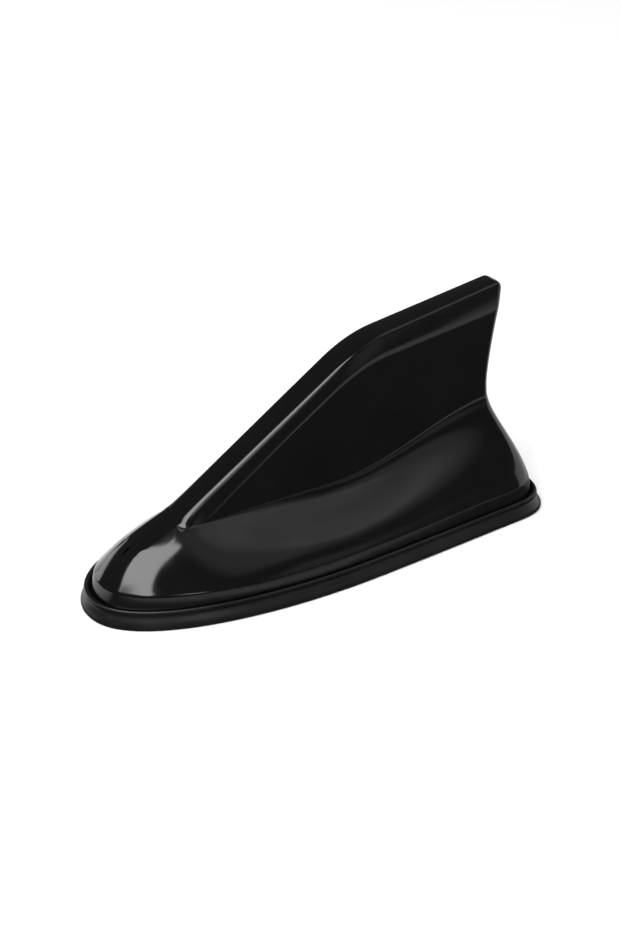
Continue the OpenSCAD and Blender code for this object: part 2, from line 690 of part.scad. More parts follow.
// Circuit board with rounded corners and its screw holes
module main_board() {
    r = 2;
    color("#1f5a37")
        translate([0, 0, board_z])
            linear_extrude(board_t)
                difference() {
                    union() {
                        translate([board_x0 + r, -board_half_w]) square([board_l - 2 * r, 2 * board_half_w]);
                        translate([board_x0, -board_half_w + r]) square([board_l, 2 * board_half_w - 2 * r]);
                        for (x = [board_x0 + r, board_x1 - r], side = [-1, 1])
                            translate([x, side * (board_half_w - r)]) circle(r = r);
                    }
                    for (x = board_screw_x, side = [-1, 1])
                        translate([x, side * board_screw_y]) circle(d = small_screw_d + screw_play);
                    for (x = carrier_screw_x) translate([x, 0]) circle(d = small_screw_d + screw_play);
                }
}

// Small screw that points down from a seat at height z
module small_screw(z, length) {
    translate([0, 0, z + small_head_t])
        mirror([0, 0, 1]) screw(small_screw_d, small_head_d, small_head_t, length);
}

// Four screws that hold the board to the base plate
module board_screws() {
    color("silver")
        for (x = board_screw_x, side = [-1, 1])
            translate([x, side * board_screw_y, 0]) small_screw(board_top, board_t + board_up);
}

// Folded tin can over the amplifier, with a grid of holes in its lid
module shield_can() {
    rows = 3;
    holes = 4;
    color("#c4c7ca")
        translate([can_x - can_l / 2, -can_w / 2, board_top])
            difference() {
                cube([can_l, can_w, can_h]);
                translate([can_t, can_t, -over])
                    cube([can_l - 2 * can_t, can_w - 2 * can_t, can_h + over - can_t]);
                for (i = [1:rows], j = [1:holes])
                    translate([i * can_l / (rows + 1), j * can_w / (holes + 1), can_h - over])
                        cylinder(d = 1.2, h = 2 * over, $fn = 16);
            }
}

// Chip on short legs
module chip(l, w, h, legs) {
    pitch = l / legs;
    leg_l = 0.9;
    leg_t = 0.4;
    translate([-l / 2, -w / 2, leg_t / 4]) cube([l, w, h]);
    for (i = [0:legs - 1], side = [-1, 1])
        translate([-l / 2 + (i + 0.3) * pitch, side > 0 ? w / 2 : -w / 2 - leg_l, 0])
            cube([pitch * 0.4, leg_l, leg_t]);
}

// Amplifier chip under the can
module amplifier_chip() {
    color("#1d1d1f") translate([can_x, 0, board_top]) rotate(90) chip(6, 5, 1.2, 4);
}

// Small capacitors and resistors in two rows along the edges of the board
module chip_parts() {
    pitch = 2.6;
    color("#8a7a5c")
        for (i = [0:6], side = [-1, 1])
            translate([row_x - 2 + i * pitch, side * (board_half_w - 2.5), board_top + 0.35])
                cube([1, 1.6, 0.7], center = true);
}

// Regulator with its heat tab
module power_regulator() {
    color("#202022")
        translate([row_x, -row_y, board_top]) {
            chip(5, 3.4, 1.5, 3);
            translate([-1.5, -3.3, 0]) cube([3, 1.7, 0.5]);
        }
}

// Electrolytic capacitor standing on the board
module smoothing_capacitor() {
    color("#9aa0a8")
        translate([row_x, row_y, board_top])
            rotate_extrude()
                polygon([[0, 0], [2.5, 0], [2.5, 0.8], [2.3, 1], [2.5, 1.2], [2.5, 5.7], [2.2, 6], [0, 6]]);
}

// Wire-wound drum choke
module tuning_coil() {
    color("#7c4a2a")
        translate([row_x + 8, row_y, board_top])
            rotate_extrude()
                polygon([[0, 0], [3, 0], [3, 0.8], [2.4, 0.8], [2.4, 3.2], [3, 3.2], [3, 4], [0, 4]]);
}

// Two coaxial sockets on the rear edge of the board
module coax_sockets() {
    half = socket_side / 2;
    barrel_l = 5;
    color("#c8a24e")
        for (side = [-1, 1])
            translate([board_x1 - socket_side, side * board_half_w * 0.6, board_top]) {
                difference() {
                    union() {
                        translate([-half, -half, 0]) cube([socket_side, socket_side, 2 * socket_z]);
                        translate([half, 0, socket_z]) rotate([0, 90, 0]) cylinder(d = 4.6, h = barrel_l);
                    }
                    translate([half + 1, 0, socket_z]) rotate([0, 90, 0]) cylinder(d = 3.6, h = barrel_l);
                }
                translate([0, 0, socket_z]) rotate([0, 90, 0]) cylinder(d = 0.9, h = half + barrel_l - 1);
            }
}

// Outline of the plate part of the carrier, in X and Z, inside the blade
function blade_plate(inset) = let(
        x0 = bend_x - (bend_z - blade_drop - blade_foot_z - blade_front_h) / rake + inset,
        x1 = rear_x(waist_z) - blade_from_rear - inset,
        top = function(x) spine_z(x) - blade_drop - inset)
    [[x1, blade_foot_z + inset], for (i = [0:8]) let(x = lerp(x1, x0, i / 8)) [x, top(x)],
        [carrier_x - rod_d / 2, blade_foot_z + inset]];

// Moulded carrier: a foot on the board, a rod for the coil and a plate up in the blade
module element_carrier() {
    color("#d8d5c8")
        difference() {
            union() {
                translate([carrier_x - carrier_l / 2, -carrier_w / 2, board_top])
                    cube([carrier_l, carrier_w, foot_t]);
                translate([carrier_x, 0, board_top]) cylinder(d = rod_d, h = blade_foot_z + 1 - board_top);
                translate([0, carrier_t / 2, 0]) rotate([90, 0, 0])
                    linear_extrude(carrier_t) polygon(blade_plate(0));
                for (x = peg_x)
                    translate([x, -carrier_t / 2, peg_z]) rotate([90, 0, 0])
                        cylinder(d = peg_d, h = element_t + 0.6);
            }
            for (x = carrier_screw_x)
                translate([x, 0, board_top - over])
                    cylinder(d = small_screw_d + screw_play, h = foot_t + 2 * over);
        }
}

// Two screws that hold the carrier to the board and the base plate
module carrier_screws() {
    color("silver")
        for (x = carrier_screw_x)
            translate([x, 0, 0]) small_screw(foot_top, foot_t + board_t + board_up);
}

// Coil of bare wire up the rod
module element_coil() {
    sides = 6;
    per_turn = 14;
    count = coil_turns * per_turn;
    rise = coil_h / count;
    rings = [for (i = [0:count]) let(a = 360 * i / per_turn, out = [cos(a), sin(a), 0]) [for (j = [0:sides - 1])
        let(b = -360 * j / sides) [carrier_x, 0, coil_z + rise * i] + out * (coil_r + coil_wire / 2 * cos(b))
            + [0, 0, coil_wire / 2 * sin(b)]]];
    color("#b5652f")
        polyhedron(
            points = flat(rings),
            faces = concat(
                [for (i = [0:count - 1], j = [0:sides - 1]) let(k = (j + 1) % sides)
                    each quad(i * sides + j, (i + 1) * sides + j, (i + 1) * sides + k, i * sides + k, false)],
                [[for (j = [0:sides - 1]) j], [for (j = [sides - 1:-1:0]) count * sides + j]]));
}

// Stamped element plate on the side of the carrier, slotted into a meander
module element_plate() {
    bottom = blade_foot_z + element_inset;
    top = function(x) spine_z(x) - blade_drop - element_inset;
    color("#c9ccd0")
        translate([0, -carrier_t / 2, 0]) rotate([90, 0, 0])
            linear_extrude(element_t)
                difference() {
                    polygon(blade_plate(element_inset));
                    for (x = peg_x) translate([x, peg_z]) circle(d = peg_d + fit);
                    for (i = [0:slots - 1]) let(x = peg_x[0] + 6.5 + i * slot_pitch, end = top(x))
                        translate([x, i % 2 == 0 ? bottom + slot_end : bottom - over])
                            square([slot_w, end - bottom - slot_end + over]);
                }
}

// Bent clip that leads from the board over the foot of the carrier to the end of the coil
module feed_clip() {
    clip_t = 0.6;
    clip_w = 2;
    y = carrier_w / 2 + fit;
    color("#c9a54c")
        translate([carrier_x + coil_r - coil_wire / 2, 0, 0]) {
            translate([0, -y - clip_t, board_top]) cube([clip_w, clip_t, foot_t + clip_t]);
            translate([0, -y - clip_t, foot_top]) cube([clip_w, y, clip_t]);
            translate([0, -clip_t - fit, foot_top])
                cube([coil_wire, clip_t, coil_z + coil_wire / 2 - foot_top]);
        }
}

// Satellite patch at the nose, on its tape, with its feed pin
module patch_tape() {
    margin = 0.5;
    color("#e8e6df")
        translate([patch_x, 0, board_top])
            linear_extrude(tape_t)
                difference() {
                    square(patch_side - 2 * margin, center = true);
                    circle(d = 2 * pin_d);
                }
}
module patch_aerial() {
    color("#8b6f4e")
        translate([patch_x - patch_side / 2, -patch_side / 2, board_top + tape_t])
            difference() {
                cube([patch_side, patch_side, patch_t]);
                translate([patch_side / 2, patch_side / 2, -over])
                    cylinder(d = pin_d + 2 * fit, h = patch_t + 2 * over);
            }
}
module patch_pin() {
    color("#c8a24e")
        translate([patch_x, 0, board_top]) {
            cylinder(d = pin_d, h = tape_t + patch_t);
            translate([0, 0, tape_t + patch_t]) cylinder(d = pin_d + 1, h = 0.4);
        }
}

// Foam strip that keeps the carrier from rattling against the shell
module rattle_foam() {
    x = carrier_x + 22;
    color("#2b2b2d")
        translate([x, -carrier_t / 2, spine_z(x) - blade_drop - foam_h - 1])
            rotate([90, 0, 0]) translate([0, 0, element_t]) cube([foam_l, foam_h, foam_t]);
}

outer_shell();
seal_gasket();
base_plate();
adhesive_pad();
shell_screws();
roof_bush();
cable_grommet();
earth_plate();
main_board();
board_screws();
shield_can();
amplifier_chip();
chip_parts();
power_regulator();
smoothing_capacitor();
tuning_coil();
coax_sockets();
element_carrier();
carrier_screws();
element_coil();
element_plate();
feed_clip();
patch_aerial();
patch_tape();
patch_pin();
rattle_foam();
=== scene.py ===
import math
import bmesh
import bpy
import numpy as np
from mathutils import Matrix, Vector
from mathutils.bvhtree import BVHTree


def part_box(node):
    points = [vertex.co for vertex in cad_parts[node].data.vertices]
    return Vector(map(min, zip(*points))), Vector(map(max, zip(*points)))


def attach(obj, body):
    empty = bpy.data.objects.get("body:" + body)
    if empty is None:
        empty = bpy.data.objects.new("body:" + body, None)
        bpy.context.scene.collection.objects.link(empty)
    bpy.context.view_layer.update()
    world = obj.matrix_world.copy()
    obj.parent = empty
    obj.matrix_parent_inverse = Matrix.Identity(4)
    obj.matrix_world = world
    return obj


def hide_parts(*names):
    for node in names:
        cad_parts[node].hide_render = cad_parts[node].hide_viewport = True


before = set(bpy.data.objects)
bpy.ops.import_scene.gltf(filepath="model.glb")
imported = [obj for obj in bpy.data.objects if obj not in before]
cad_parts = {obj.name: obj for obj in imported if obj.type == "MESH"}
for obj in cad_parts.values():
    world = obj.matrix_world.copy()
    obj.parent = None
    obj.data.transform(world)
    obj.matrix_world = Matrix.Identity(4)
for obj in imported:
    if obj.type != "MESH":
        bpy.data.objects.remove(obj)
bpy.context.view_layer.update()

# Camera. It stands off the nose on the left-hand side, a little above the fin, with a long lens,
# as a catalogue picture is taken.
CAMERA_PLACE = (-0.2794, -0.4180, 0.3300)
CAMERA_BACK = Vector((-0.4793, -0.7106, 0.5150))
CAMERA_LENS, CAMERA_NEAR = 68.74, 0.01

camera_data = bpy.data.cameras.new("camera")
camera_data.lens = CAMERA_LENS
camera_data.clip_start = CAMERA_NEAR
camera_right = Vector((0, 0, 1)).cross(CAMERA_BACK).normalized()
camera_turn = Matrix((camera_right, CAMERA_BACK.cross(camera_right), CAMERA_BACK)).transposed()
camera = bpy.data.objects.new("camera", camera_data)
camera.matrix_world = Matrix.Translation(CAMERA_PLACE) @ camera_turn.to_4x4()
bpy.context.scene.collection.objects.link(camera)
bpy.context.scene.camera = camera

# Studio. A pale matt floor that runs out of view, and an even surround. For reflected rays only,
# the floor's colour is painted dark on the camera's side in place of black flags, and the surround
# is dimmed, so the polish mirrors three soft glows, seen only in reflections, and the panels of
# light instead: a window over the nose, a long strip beside it, and two upright walls of light
# behind.
FLOOR_HALF = 6.0
FLOOR_COLOUR, FLOOR_ROUGHNESS = (0.90, 0.90, 0.90), 0.9
FLOOR_IN_GLOSS = 0.05
GLOSS_SHADE_PLACE, GLOSS_SHADE_TURN = (0.09, -0.01, 0), 42
GLOSS_SHADE_SIDE, GLOSS_SHADE_BACK, GLOSS_SHADE_FRONT = (-0.01, 0.03), (0.0, 0.03), (-0.20, -0.25)
FRONT_SHARE = 0.6
SURROUND, SURROUND_IN_GLOSS = 0.80, 0.09
GLOWS = [((0.495, -0.07, 0.866), 14, 0.60), ((0.235, -0.407, 0.883), 13, 0.32),
         ((0.35, -0.91, 0.27), 9, 0.22)]
GLOW_RIM, GLOW_CORE = 1.6, 0.2
CEILING = 1.2
bpy.context.scene.view_settings.view_transform = "Standard"


def add_object(name, mesh):
    """A new object at the origin, linked to the scene."""
    made = bpy.data.objects.new(name, mesh)
    bpy.context.scene.collection.objects.link(made)
    return made


def new_material(name, colour, roughness, **sockets):
    """A Principled material with these plain values, and its tree and shader."""
    made = bpy.data.materials.new(name)
    made.use_nodes = True
    shader = made.node_tree.nodes["Principled BSDF"]
    shader.inputs["Base Color"].default_value = (*colour, 1)
    shader.inputs["Roughness"].default_value = roughness
    for label, value in sockets.items():
        shader.inputs[label.replace("_", " ")].default_value = value
    made.diffuse_color = (*colour, 1)
    return made, made.node_tree, shader


def add_node(tree, kind, inputs=None, **settings):
    """A node with its settings, and its inputs set to values or linked to other nodes' sockets."""
    made = tree.nodes.new(kind)
    for key, value in settings.items():
        setattr(made, key, value)
    for key, value in (inputs or {}).items():
        if isinstance(value, bpy.types.NodeSocket):
            tree.links.new(value, made.inputs[key])
        else:
            made.inputs[key].default_value = value
    return made


def ramp(tree, value, low, high, to_low=0.0, to_high=1.0, **settings):
    """A value carried over from one range to another, and held at its ends."""
    return add_node(tree, "ShaderNodeMapRange", {
        "Value": value, "From Min": low, "From Max": high, "To Min": to_low, "To Max": to_high},
        **settings).outputs["Result"]


def worked_out(tree, a, b, operation="MULTIPLY"):
    """A number worked out from two others."""
    return add_node(tree, "ShaderNodeMath", {0: a, 1: b}, operation=operation).outputs[0]


floor_mesh = bpy.data.meshes.new("floor")
floor_mesh.from_pydata([(-FLOOR_HALF, -FLOOR_HALF, 0), (FLOOR_HALF, -FLOOR_HALF, 0),
                        (FLOOR_HALF, FLOOR_HALF, 0), (-FLOOR_HALF, FLOOR_HALF, 0)],
                       [], [(0, 1, 2, 3)])
floor_paper, tree, shader = new_material("floor_paper", FLOOR_COLOUR, FLOOR_ROUGHNESS)
# Painted shade in reflections: for glossy rays the floor's colour drops to FLOOR_IN_GLOSS of itself
# on the camera's side, standing in for black flags that are not there.
in_gloss = add_node(tree, "ShaderNodeLightPath").outputs["Is Glossy Ray"]
spot = add_node(tree, "ShaderNodeTexCoord").outputs["Object"]
turned = add_node(tree, "ShaderNodeMapping", {
    "Vector": spot, "Location": GLOSS_SHADE_PLACE, "Rotation": (0, 0, math.radians(GLOSS_SHADE_TURN))},
    vector_type="TEXTURE")
beside = add_node(tree, "ShaderNodeSeparateXYZ", {0: turned.outputs[0]}).outputs["X"]
behind = add_node(tree, "ShaderNodeSeparateXYZ", {0: spot}).outputs["Y"]
kept_bright = worked_out(tree, ramp(tree, beside, *GLOSS_SHADE_SIDE), ramp(tree, behind, *GLOSS_SHADE_BACK), "MAXIMUM")
kept_bright = worked_out(tree, kept_bright, ramp(tree, behind, *GLOSS_SHADE_FRONT, to_high=FRONT_SHARE), "MAXIMUM")
painted_gloss_shade = worked_out(tree, in_gloss, worked_out(tree, 1.0, kept_bright, "SUBTRACT"))
paper = add_node(tree, "ShaderNodeMix", {
    0: painted_gloss_shade, 6: (*FLOOR_COLOUR, 1), 7: (*(v * FLOOR_IN_GLOSS for v in FLOOR_COLOUR), 1)},
    data_type="RGBA")
tree.links.new(paper.outputs[2], shader.inputs["Base Color"])
floor_mesh.materials.append(floor_paper)
floor = add_object("floor", floor_mesh)

world = bpy.data.worlds.new("studio")
bpy.context.scene.world = world
world.use_nodes = True
sky = world.node_tree
in_gloss = add_node(sky, "ShaderNodeLightPath").outputs["Is Glossy Ray"]
heading = add_node(sky, "ShaderNodeTexCoord").outputs["Generated"]
level = SURROUND_IN_GLOSS
for way, reach, radiance in GLOWS:
    toward = add_node(sky, "ShaderNodeVectorMath", {0: heading, 1: Vector(way).normalized()},
                      operation="DOT_PRODUCT").outputs["Value"]
    rim, core = (math.cos(math.radians(reach * share)) for share in (GLOW_RIM, GLOW_CORE))
    glow = ramp(sky, toward, rim, core, to_high=radiance, interpolation_type="SMOOTHSTEP")
    level = worked_out(sky, level, glow, "ADD")
backdrop = sky.nodes["Background"]
sky.links.new(ramp(sky, in_gloss, 0.0, 1.0, SURROUND, level), backdrop.inputs["Strength"])
backdrop.inputs["Color"].default_value = (1, 1, 1, 1)


def light_panel(name, low, high, radiance, spin=0):
    """A rectangle of light between two corners that share one coordinate, shining at the object
    and spun about its middle by some degrees."""
    low, high = Vector(low), Vector(high)
    size = high - low
    flat = min(range(3), key=lambda i: abs(size[i]))
    across, along = [i for i in range(3) if i != flat]
    centre = (low + high) / 2
    axes = [Vector([float(i == k) for i in range(3)]) for k in (across, along)]
    normal = axes[0].cross(axes[1])
    if normal.dot(centre) < 0:
        axes.reverse()
        across, along = along, across
        normal.negate()
    data = bpy.data.lights.new(name, "AREA")
    data.shape = "RECTANGLE"
    data.size, data.size_y = abs(size[across]), abs(size[along])
    data.energy = radiance * math.pi * data.size * data.size_y
    light = bpy.data.objects.new(name, data)
    facing = Matrix((axes[0], axes[1], normal)).transposed()
    turn = Matrix.Rotation(math.radians(spin), 3, normal) @ facing
    light.matrix_world = Matrix.Translation(centre) @ turn.to_4x4()
    bpy.context.scene.collection.objects.link(light)


light_panel("window_light", (-1.215, -0.880, CEILING), (-0.335, 0.270, CEILING), 6.6, spin=31)
light_panel("strip_light", (-0.55, -3.00, CEILING), (-0.27, -1.25, CEILING), 2.4)
light_panel("shoulder_light", (-1.60, 2.50, 0.05), (-0.20, 2.50, 0.80), 2.2)
light_panel("rear_light", (2.50, -2.00, 0.00), (2.50, 2.40, 1.00), 1.0)


# Outer shell. One injection-moulded piece of polished black plastic: a domed nose, side panels that
# draw in to a blade, a chamfer under a flat spine, and a rear edge that is waisted. Each rib of the
# skin is worked out from the foot up, and the ribs fan round the nose and the tail. All in mm.
MM = 0.001
seal_low, seal_high = (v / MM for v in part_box("seal_gasket"))
# The outline that the seal and the foot of the shell follow, and the upright skirt
NOSE_X, TAIL_X = seal_low.x, seal_high.x
HALF_W = seal_high.y
WIDEST_X = NOSE_X + 90
TAIL_TAPER, TAIL_CORNER = 1.1, 25
NOSE_POWER, TAIL_POWER = 1 / 2.2, 5
SHELL_IN_NOSE, SHELL_IN_SIDE, SHELL_IN_TAIL = 3.4, 3.1, 2.6
LEAN_NOSE, LEAN_SIDE, LEAN_TAIL = 1.6, 1.3, 0.4
RIDGE_H, RIM_Z, LEAN_Z = 6.6, 3.6, 5.8
SKIRT_NOSE, SKIRT_MID, SKIRT_TAIL = 4.1, 3.0, 3.9
# The spine, from the brow over the bend to the tip, and the edges of the blade below it
BROW_X, BROW_Z, BROW_R = NOSE_X + 31, 25.2, 2.5
BEND_X, BEND_Z, BEND_R = NOSE_X + 102, 69.2, 9.5
TIP_X, TIP_Z, TIP_FALL = TAIL_X - 3.6, 76.1, 0.5
RAKE = (BEND_Z - BROW_Z) / (BEND_X - BROW_X)
ROOF_SLOPE = (TIP_Z - BEND_Z) / (TIP_X - BEND_X)
SPINE_W, SPINE_TIP_W = 9.8, 8.6
CROWN_H = 0.5
CROWN_SLOPE = 4 * CROWN_H / SPINE_W
CHAMFER_H, CHAMFER_TIP_H, CHAMFER_OUT, CHAMFER_SHARE = 6.3, 8.0, 2.1, 0.85
PANEL_DRAFT = 4.3
CREASE_Z, CREASE_TAIL_Z = 24.2, 39.0
WAIST_Z, WAIST_IN = 42.0, 7.8
REAR_POWER = 1.35
CORNER_POWER, BLADE_CORNER = 2.4, 3.5
# The flowing side: its angles at the foot and the top and the pull of each, along the part
DOME_CURVE = (49, 17, 0.355, 0.29)
BROW_CURVE = (48, 30, 0.25, 0.36)
TAIL_CURVE = (68, 86, 0.38, 0.27)
DOME_RISE, DOME_CLOSE, DOME_REACH = 0.10, 0.985, 24
BROW_REACH, BAND_EASE = 40, 6
FADE_X = NOSE_X + 125
FLOW_X, BLADE_TAIL_X, FLOW_POWER = (NOSE_X + TAIL_X) / 2, TAIL_X - 10, 1.1
BROW_OPEN, BROW_FADE, MIN_RISE = 2.2, 3.5, 0.05
CUT_REACH, CUT_FADE = 12, 1.5
SLOPE_STEP, HALVINGS = 0.1, 20
# Rounded edges, the share of a side that a rounding may take, and the easing across the brow
SKIRT_ROUND, CREASE_ROUND, CHAMFER_ROUND, SPINE_ROUND, TIP_ROUND = 0.5, 0.8, 1.5, 1.3, 3.8
ROUND_LIMIT, TIP_SHARE = 0.45, 0.97
RELAX_BELL, RELAX_REACH, RELAX_TOP, RELAX_LEAST = 4.0, 22.0, 0.12, 0.05
# The wall, how much of it counts on a slope, and the bosses for the screws
SHELL_WALL = 2.2
SLOPE_WALL, CREASE_WALL, SKIRT_WALL = 1.15, 0.75, 0.35
BASE_TOP, HOLE_DEPTH, BOSS_R, HOLE_R, BOSS_N, BOSS_INTO_SKIN = 4.4, 5.0, 3.3, 1.5, 32, 0.9
BOSS_PLACES = [(NOSE_X + 18, 0), (NOSE_X + 70, HALF_W - 11.7), (NOSE_X + 70, 11.7 - HALF_W),
               (TAIL_X - 23, HALF_W - 13.7), (TAIL_X - 23, 13.7 - HALF_W)]
# Ribs, and the steps up each
FAN_N, SIDE_N, SIDE_POWER = 32, 150, 1.3
FLARE_STEPS, PANEL_STEPS, ROUND_STEPS, INNER_STEPS, INNER_OVER = 20, 8, 6, 5, 4
SHELL_SHARP, MERGE_GAP = 50, 0.0005
# Where the mottle turns from dark to light, and the mask at which a surface is at its roughest
MOTTLE_TURN, WORN_AT = (0.35, 0.65), 0.6


def lerp(a, b, t):
    """The value t of the way from a to b."""
    return a + (b - a) * t


def clamp(t):
    """A share, kept between 0 and 1."""
    return max(0.0, min(1.0, t))


def ease(t):
    """A share that starts and ends smoothly."""
    c = clamp(t)
    return c * c * (3 - 2 * c)


def unit(v):
    """A vector's direction."""
    return v / max(np.linalg.norm(v), 1e-6)


def sin(a):
    """The sine of an angle in degrees."""
    return math.sin(math.radians(a))


def cos(a):
    """The cosine of an angle in degrees."""
    return math.cos(math.radians(a))


def tan(a):
    """The tangent of an angle in degrees."""
    return math.tan(math.radians(a))


def plan_y(x, x0, x1, w):
    """Half width of an outline that runs from x0 to x1 and is w wide on each side."""
    ahead = clamp((WIDEST_X - x) / (WIDEST_X - x0))
    aft = clamp((x - WIDEST_X) / (x1 - WIDEST_X))
    corner = clamp((x - x1 + TAIL_CORNER) / TAIL_CORNER)
    return ((w * (1 - ahead * ahead) ** NOSE_POWER - TAIL_TAPER * aft * aft)
            * (1 - corner ** TAIL_POWER) ** (1 / TAIL_POWER))


def spine_z(x):
    """Height of the flat spine, with the hollow at the brow and the bend rounded off."""
    d = (x - BEND_X) / BEND_R
    hollow = max(0, BROW_X + BROW_R - x)
    if d < -1:
        return BEND_Z + RAKE * (x - BEND_X) + (RAKE - DOME_RISE) * hollow * hollow / (4 * BROW_R)
    if d > 1:
        return BEND_Z + ROOF_SLOPE * (x - BEND_X)
    return (BEND_Z + (RAKE + ROOF_SLOPE) / 2 * d * BEND_R
            + (ROOF_SLOPE - RAKE) / 4 * BEND_R * (d * d + 1))


def rear_x(z):
    """Where the rear edge lies at a height: forward at the waist, back at the tip and the tail."""
    back_x = TAIL_X - SHELL_IN_TAIL - LEAN_TAIL
    waist_x = back_x - WAIST_IN
    low = clamp((WAIST_Z - z) / (WAIST_Z - RIDGE_H))
    high = max(0.0, (z - WAIST_Z) / (TIP_Z - WAIST_Z))
    return waist_x + (back_x - waist_x) * low * low + (TIP_X - waist_x) * high ** REAR_POWER


def skirt_z(x):
    """Height of the top of the upright skirt."""
    middle = (NOSE_X + TAIL_X) / 2
    t = clamp(abs(x - middle) / (TAIL_X - middle))
    return RIDGE_H + lerp(SKIRT_MID, SKIRT_NOSE if x < middle else SKIRT_TAIL, t * t)


def tail_plan(back, c, w, power, a):
    """Plan position on a tail that turns from the side to the middle, with a corner c long."""
    return back - c + c * max(0.0, sin(a)) ** (2 / power), w * max(0.0, cos(a)) ** (2 / power)


def station(t):
    """How far along the side a rib stands. They are closer together near the brow."""
    return t ** SIDE_POWER


def plan_point(part, t, nose, side, tail):
    """Plan position of a rib on an outline that lies inside the seal's by these three insets.
    Part 0 fans round the nose, 1 is the side, 2 the tail."""
    x0, x1, w = NOSE_X + nose, TAIL_X - tail, HALF_W - side
    if part == 0:
        fan = t * math.degrees(math.acos((WIDEST_X - BROW_X) / (WIDEST_X - x0)))
        return WIDEST_X - (WIDEST_X - x0) * cos(fan), w * sin(fan) ** (2 * NOSE_POWER)
    if part == 1:
        x = lerp(BROW_X, x1 - TAIL_CORNER, station(t))
        return x, plan_y(x, x0, x1, w)
    return tail_plan(x1, TAIL_CORNER, plan_y(x1 - TAIL_CORNER, x0, x1, w), TAIL_POWER, 90 * t)


def skirt_plan(part, t, e, lean):
    """Plan position of a rib at the foot of the skirt (lean 0) or at its top (lean 1)."""
    return plan_point(part, t, SHELL_IN_NOSE + lean * LEAN_NOSE + e,
                      SHELL_IN_SIDE + lean * LEAN_SIDE + e, SHELL_IN_TAIL + lean * LEAN_TAIL + e)


def spine_y(x, e):
    """Half width of the flat spine."""
    return lerp(SPINE_W, SPINE_TIP_W, clamp((x - BEND_X) / (TIP_X - BEND_X))) / 2 - e


def crease_height(x):
    """Height of the crease at the foot of the side panel."""
    near = (BROW_Z - MIN_RISE - CREASE_Z) * math.exp((BROW_X - x) / BROW_FADE)
    aft = ease((x - FLOW_X) / (BLADE_TAIL_X - FLOW_X)) ** FLOW_POWER
    return CREASE_Z + near + (CREASE_TAIL_Z - CREASE_Z) * aft


def blade_corners(part, t, e):
    """A rib's corners on the blade: foot of the panel, foot of the chamfer, edge of the spine."""
    side = station(t) if part == 1 else 1
    a = 90 * t if part == 2 else 0
    c = BLADE_CORNER
    x4 = lerp(BROW_X, TIP_X - e - c, side)
    p4 = tail_plan(x4 + c, c, spine_y(x4, e), CORNER_POWER, a)
    z4 = spine_z(p4[0]) - e * SLOPE_WALL
    fall = TIP_FALL * sin(a) ** 3
    drop = lerp(CHAMFER_H, CHAMFER_TIP_H, ease((x4 - BEND_X) / (TIP_X - BEND_X)))
    foot_x = lerp(BROW_X, rear_x(CREASE_TAIL_Z) - e - c, side)
    rise = max(z4 - crease_height(foot_x) + e * CREASE_WALL, MIN_RISE)
    z3, z2 = z4 - min(drop, rise * CHAMFER_SHARE), z4 - rise
    x3 = lerp(BROW_X, rear_x(z3) - e - c, side)
    x2 = lerp(BROW_X, rear_x(z2) - e - c, side)
    y3 = spine_y(x4, e) + CHAMFER_OUT * clamp((x4 - BROW_X) / BROW_OPEN)
    y2 = y3 + (z3 - z2) * tan(PANEL_DRAFT)
    p3 = tail_plan(x3 + c, c, y3, CORNER_POWER, a)
    p2 = tail_plan(x2 + c, c, y2, CORNER_POWER, a)
    return [np.array((*p2, z2)), np.array((*p3, z3)), np.array((*p4, z4 - fall))]


def panel_point(k2, k3, side, u):
    """A point of the side panel, bowed as the rear edge is."""
    z = lerp(k2[2], k3[2], u)
    bow = rear_x(z) - lerp(rear_x(k2[2]), rear_x(k3[2]), u)
    return lerp(k2, k3, u) + np.array((bow * side, 0, 0))


def rounded(a, k, b, r, e, share_b=None):
    """Points that round the corner k between a and b over a length r each way, or over a share of
    the way to b."""
    if e > 0:
        return [k]
    reach_a, reach_b = (min(r, np.linalg.norm(v - k) * ROUND_LIMIT) for v in (a, b))
    p = k + unit(a - k) * reach_a
    q = k + unit(b - k) * reach_b if share_b is None else lerp(k, b, share_b)
    return [lerp(lerp(p, k, t), lerp(k, q, t), t) for t in np.linspace(0, 1, ROUND_STEPS)]


def flare_point(k1, k2, u, start_a, end_a, start_pull, end_pull):
    """A point of the flowing side, u of the way from the skirt at k1 to the blade at k2. It
    leaves and arrives at these angles, and the pulls say how long it keeps to them."""
    out = unit(np.array((k2[0] - k1[0], k2[1] - k1[1], 0)))
    up = np.array((0, 0, 1))
    far = np.linalg.norm(k2 - k1)
    a = k1 + far * start_pull * (out * cos(start_a) + up * sin(start_a))
    b = k2 - far * end_pull * (out * cos(end_a) + up * sin(end_a))
    v = 1 - u
    return v ** 3 * k1 + 3 * v * v * u * a + 3 * v * u * u * b + u ** 3 * k2


def spine_row(edge, k4_z, s):
    """A point of the crown across the spine, s of the way out to its edge."""
    return np.array((edge[0], edge[1] * s, lerp(k4_z + CROWN_H, edge[2], s * s)))


def blade_points(k, part, t, e, before):
    """The top of a side rib, from the flare's end over panel and chamfer onto the spine."""
    side = station(t) if part == 1 else 1
    steps = 1 if e > 0 else PANEL_STEPS
    panel = [panel_point(k[0], k[1], side, i / (steps + 1)) for i in range(1, steps + 1)]
    inward = np.array((0, -1, CROWN_SLOPE))
    ahead, share, top_round = k[2] + SPINE_W * inward, None, SPINE_ROUND
    if part == 2:
        x = TIP_X - e - BLADE_CORNER
        z4 = spine_z(x) - e * SLOPE_WALL
        edge = np.array((x, spine_y(x, e), z4)) + SPINE_ROUND * unit(inward)
        ahead, share = spine_row(edge, z4, 1 - t), TIP_SHARE
        top_round = lerp(SPINE_ROUND, TIP_ROUND, sin(90 * t))
    return [*rounded(before, k[0], panel[0], CREASE_ROUND, e), *panel,
            *rounded(panel[-1], k[1], k[2], CHAMFER_ROUND, e),
            *rounded(k[1], k[2], ahead, top_round, e, share)]


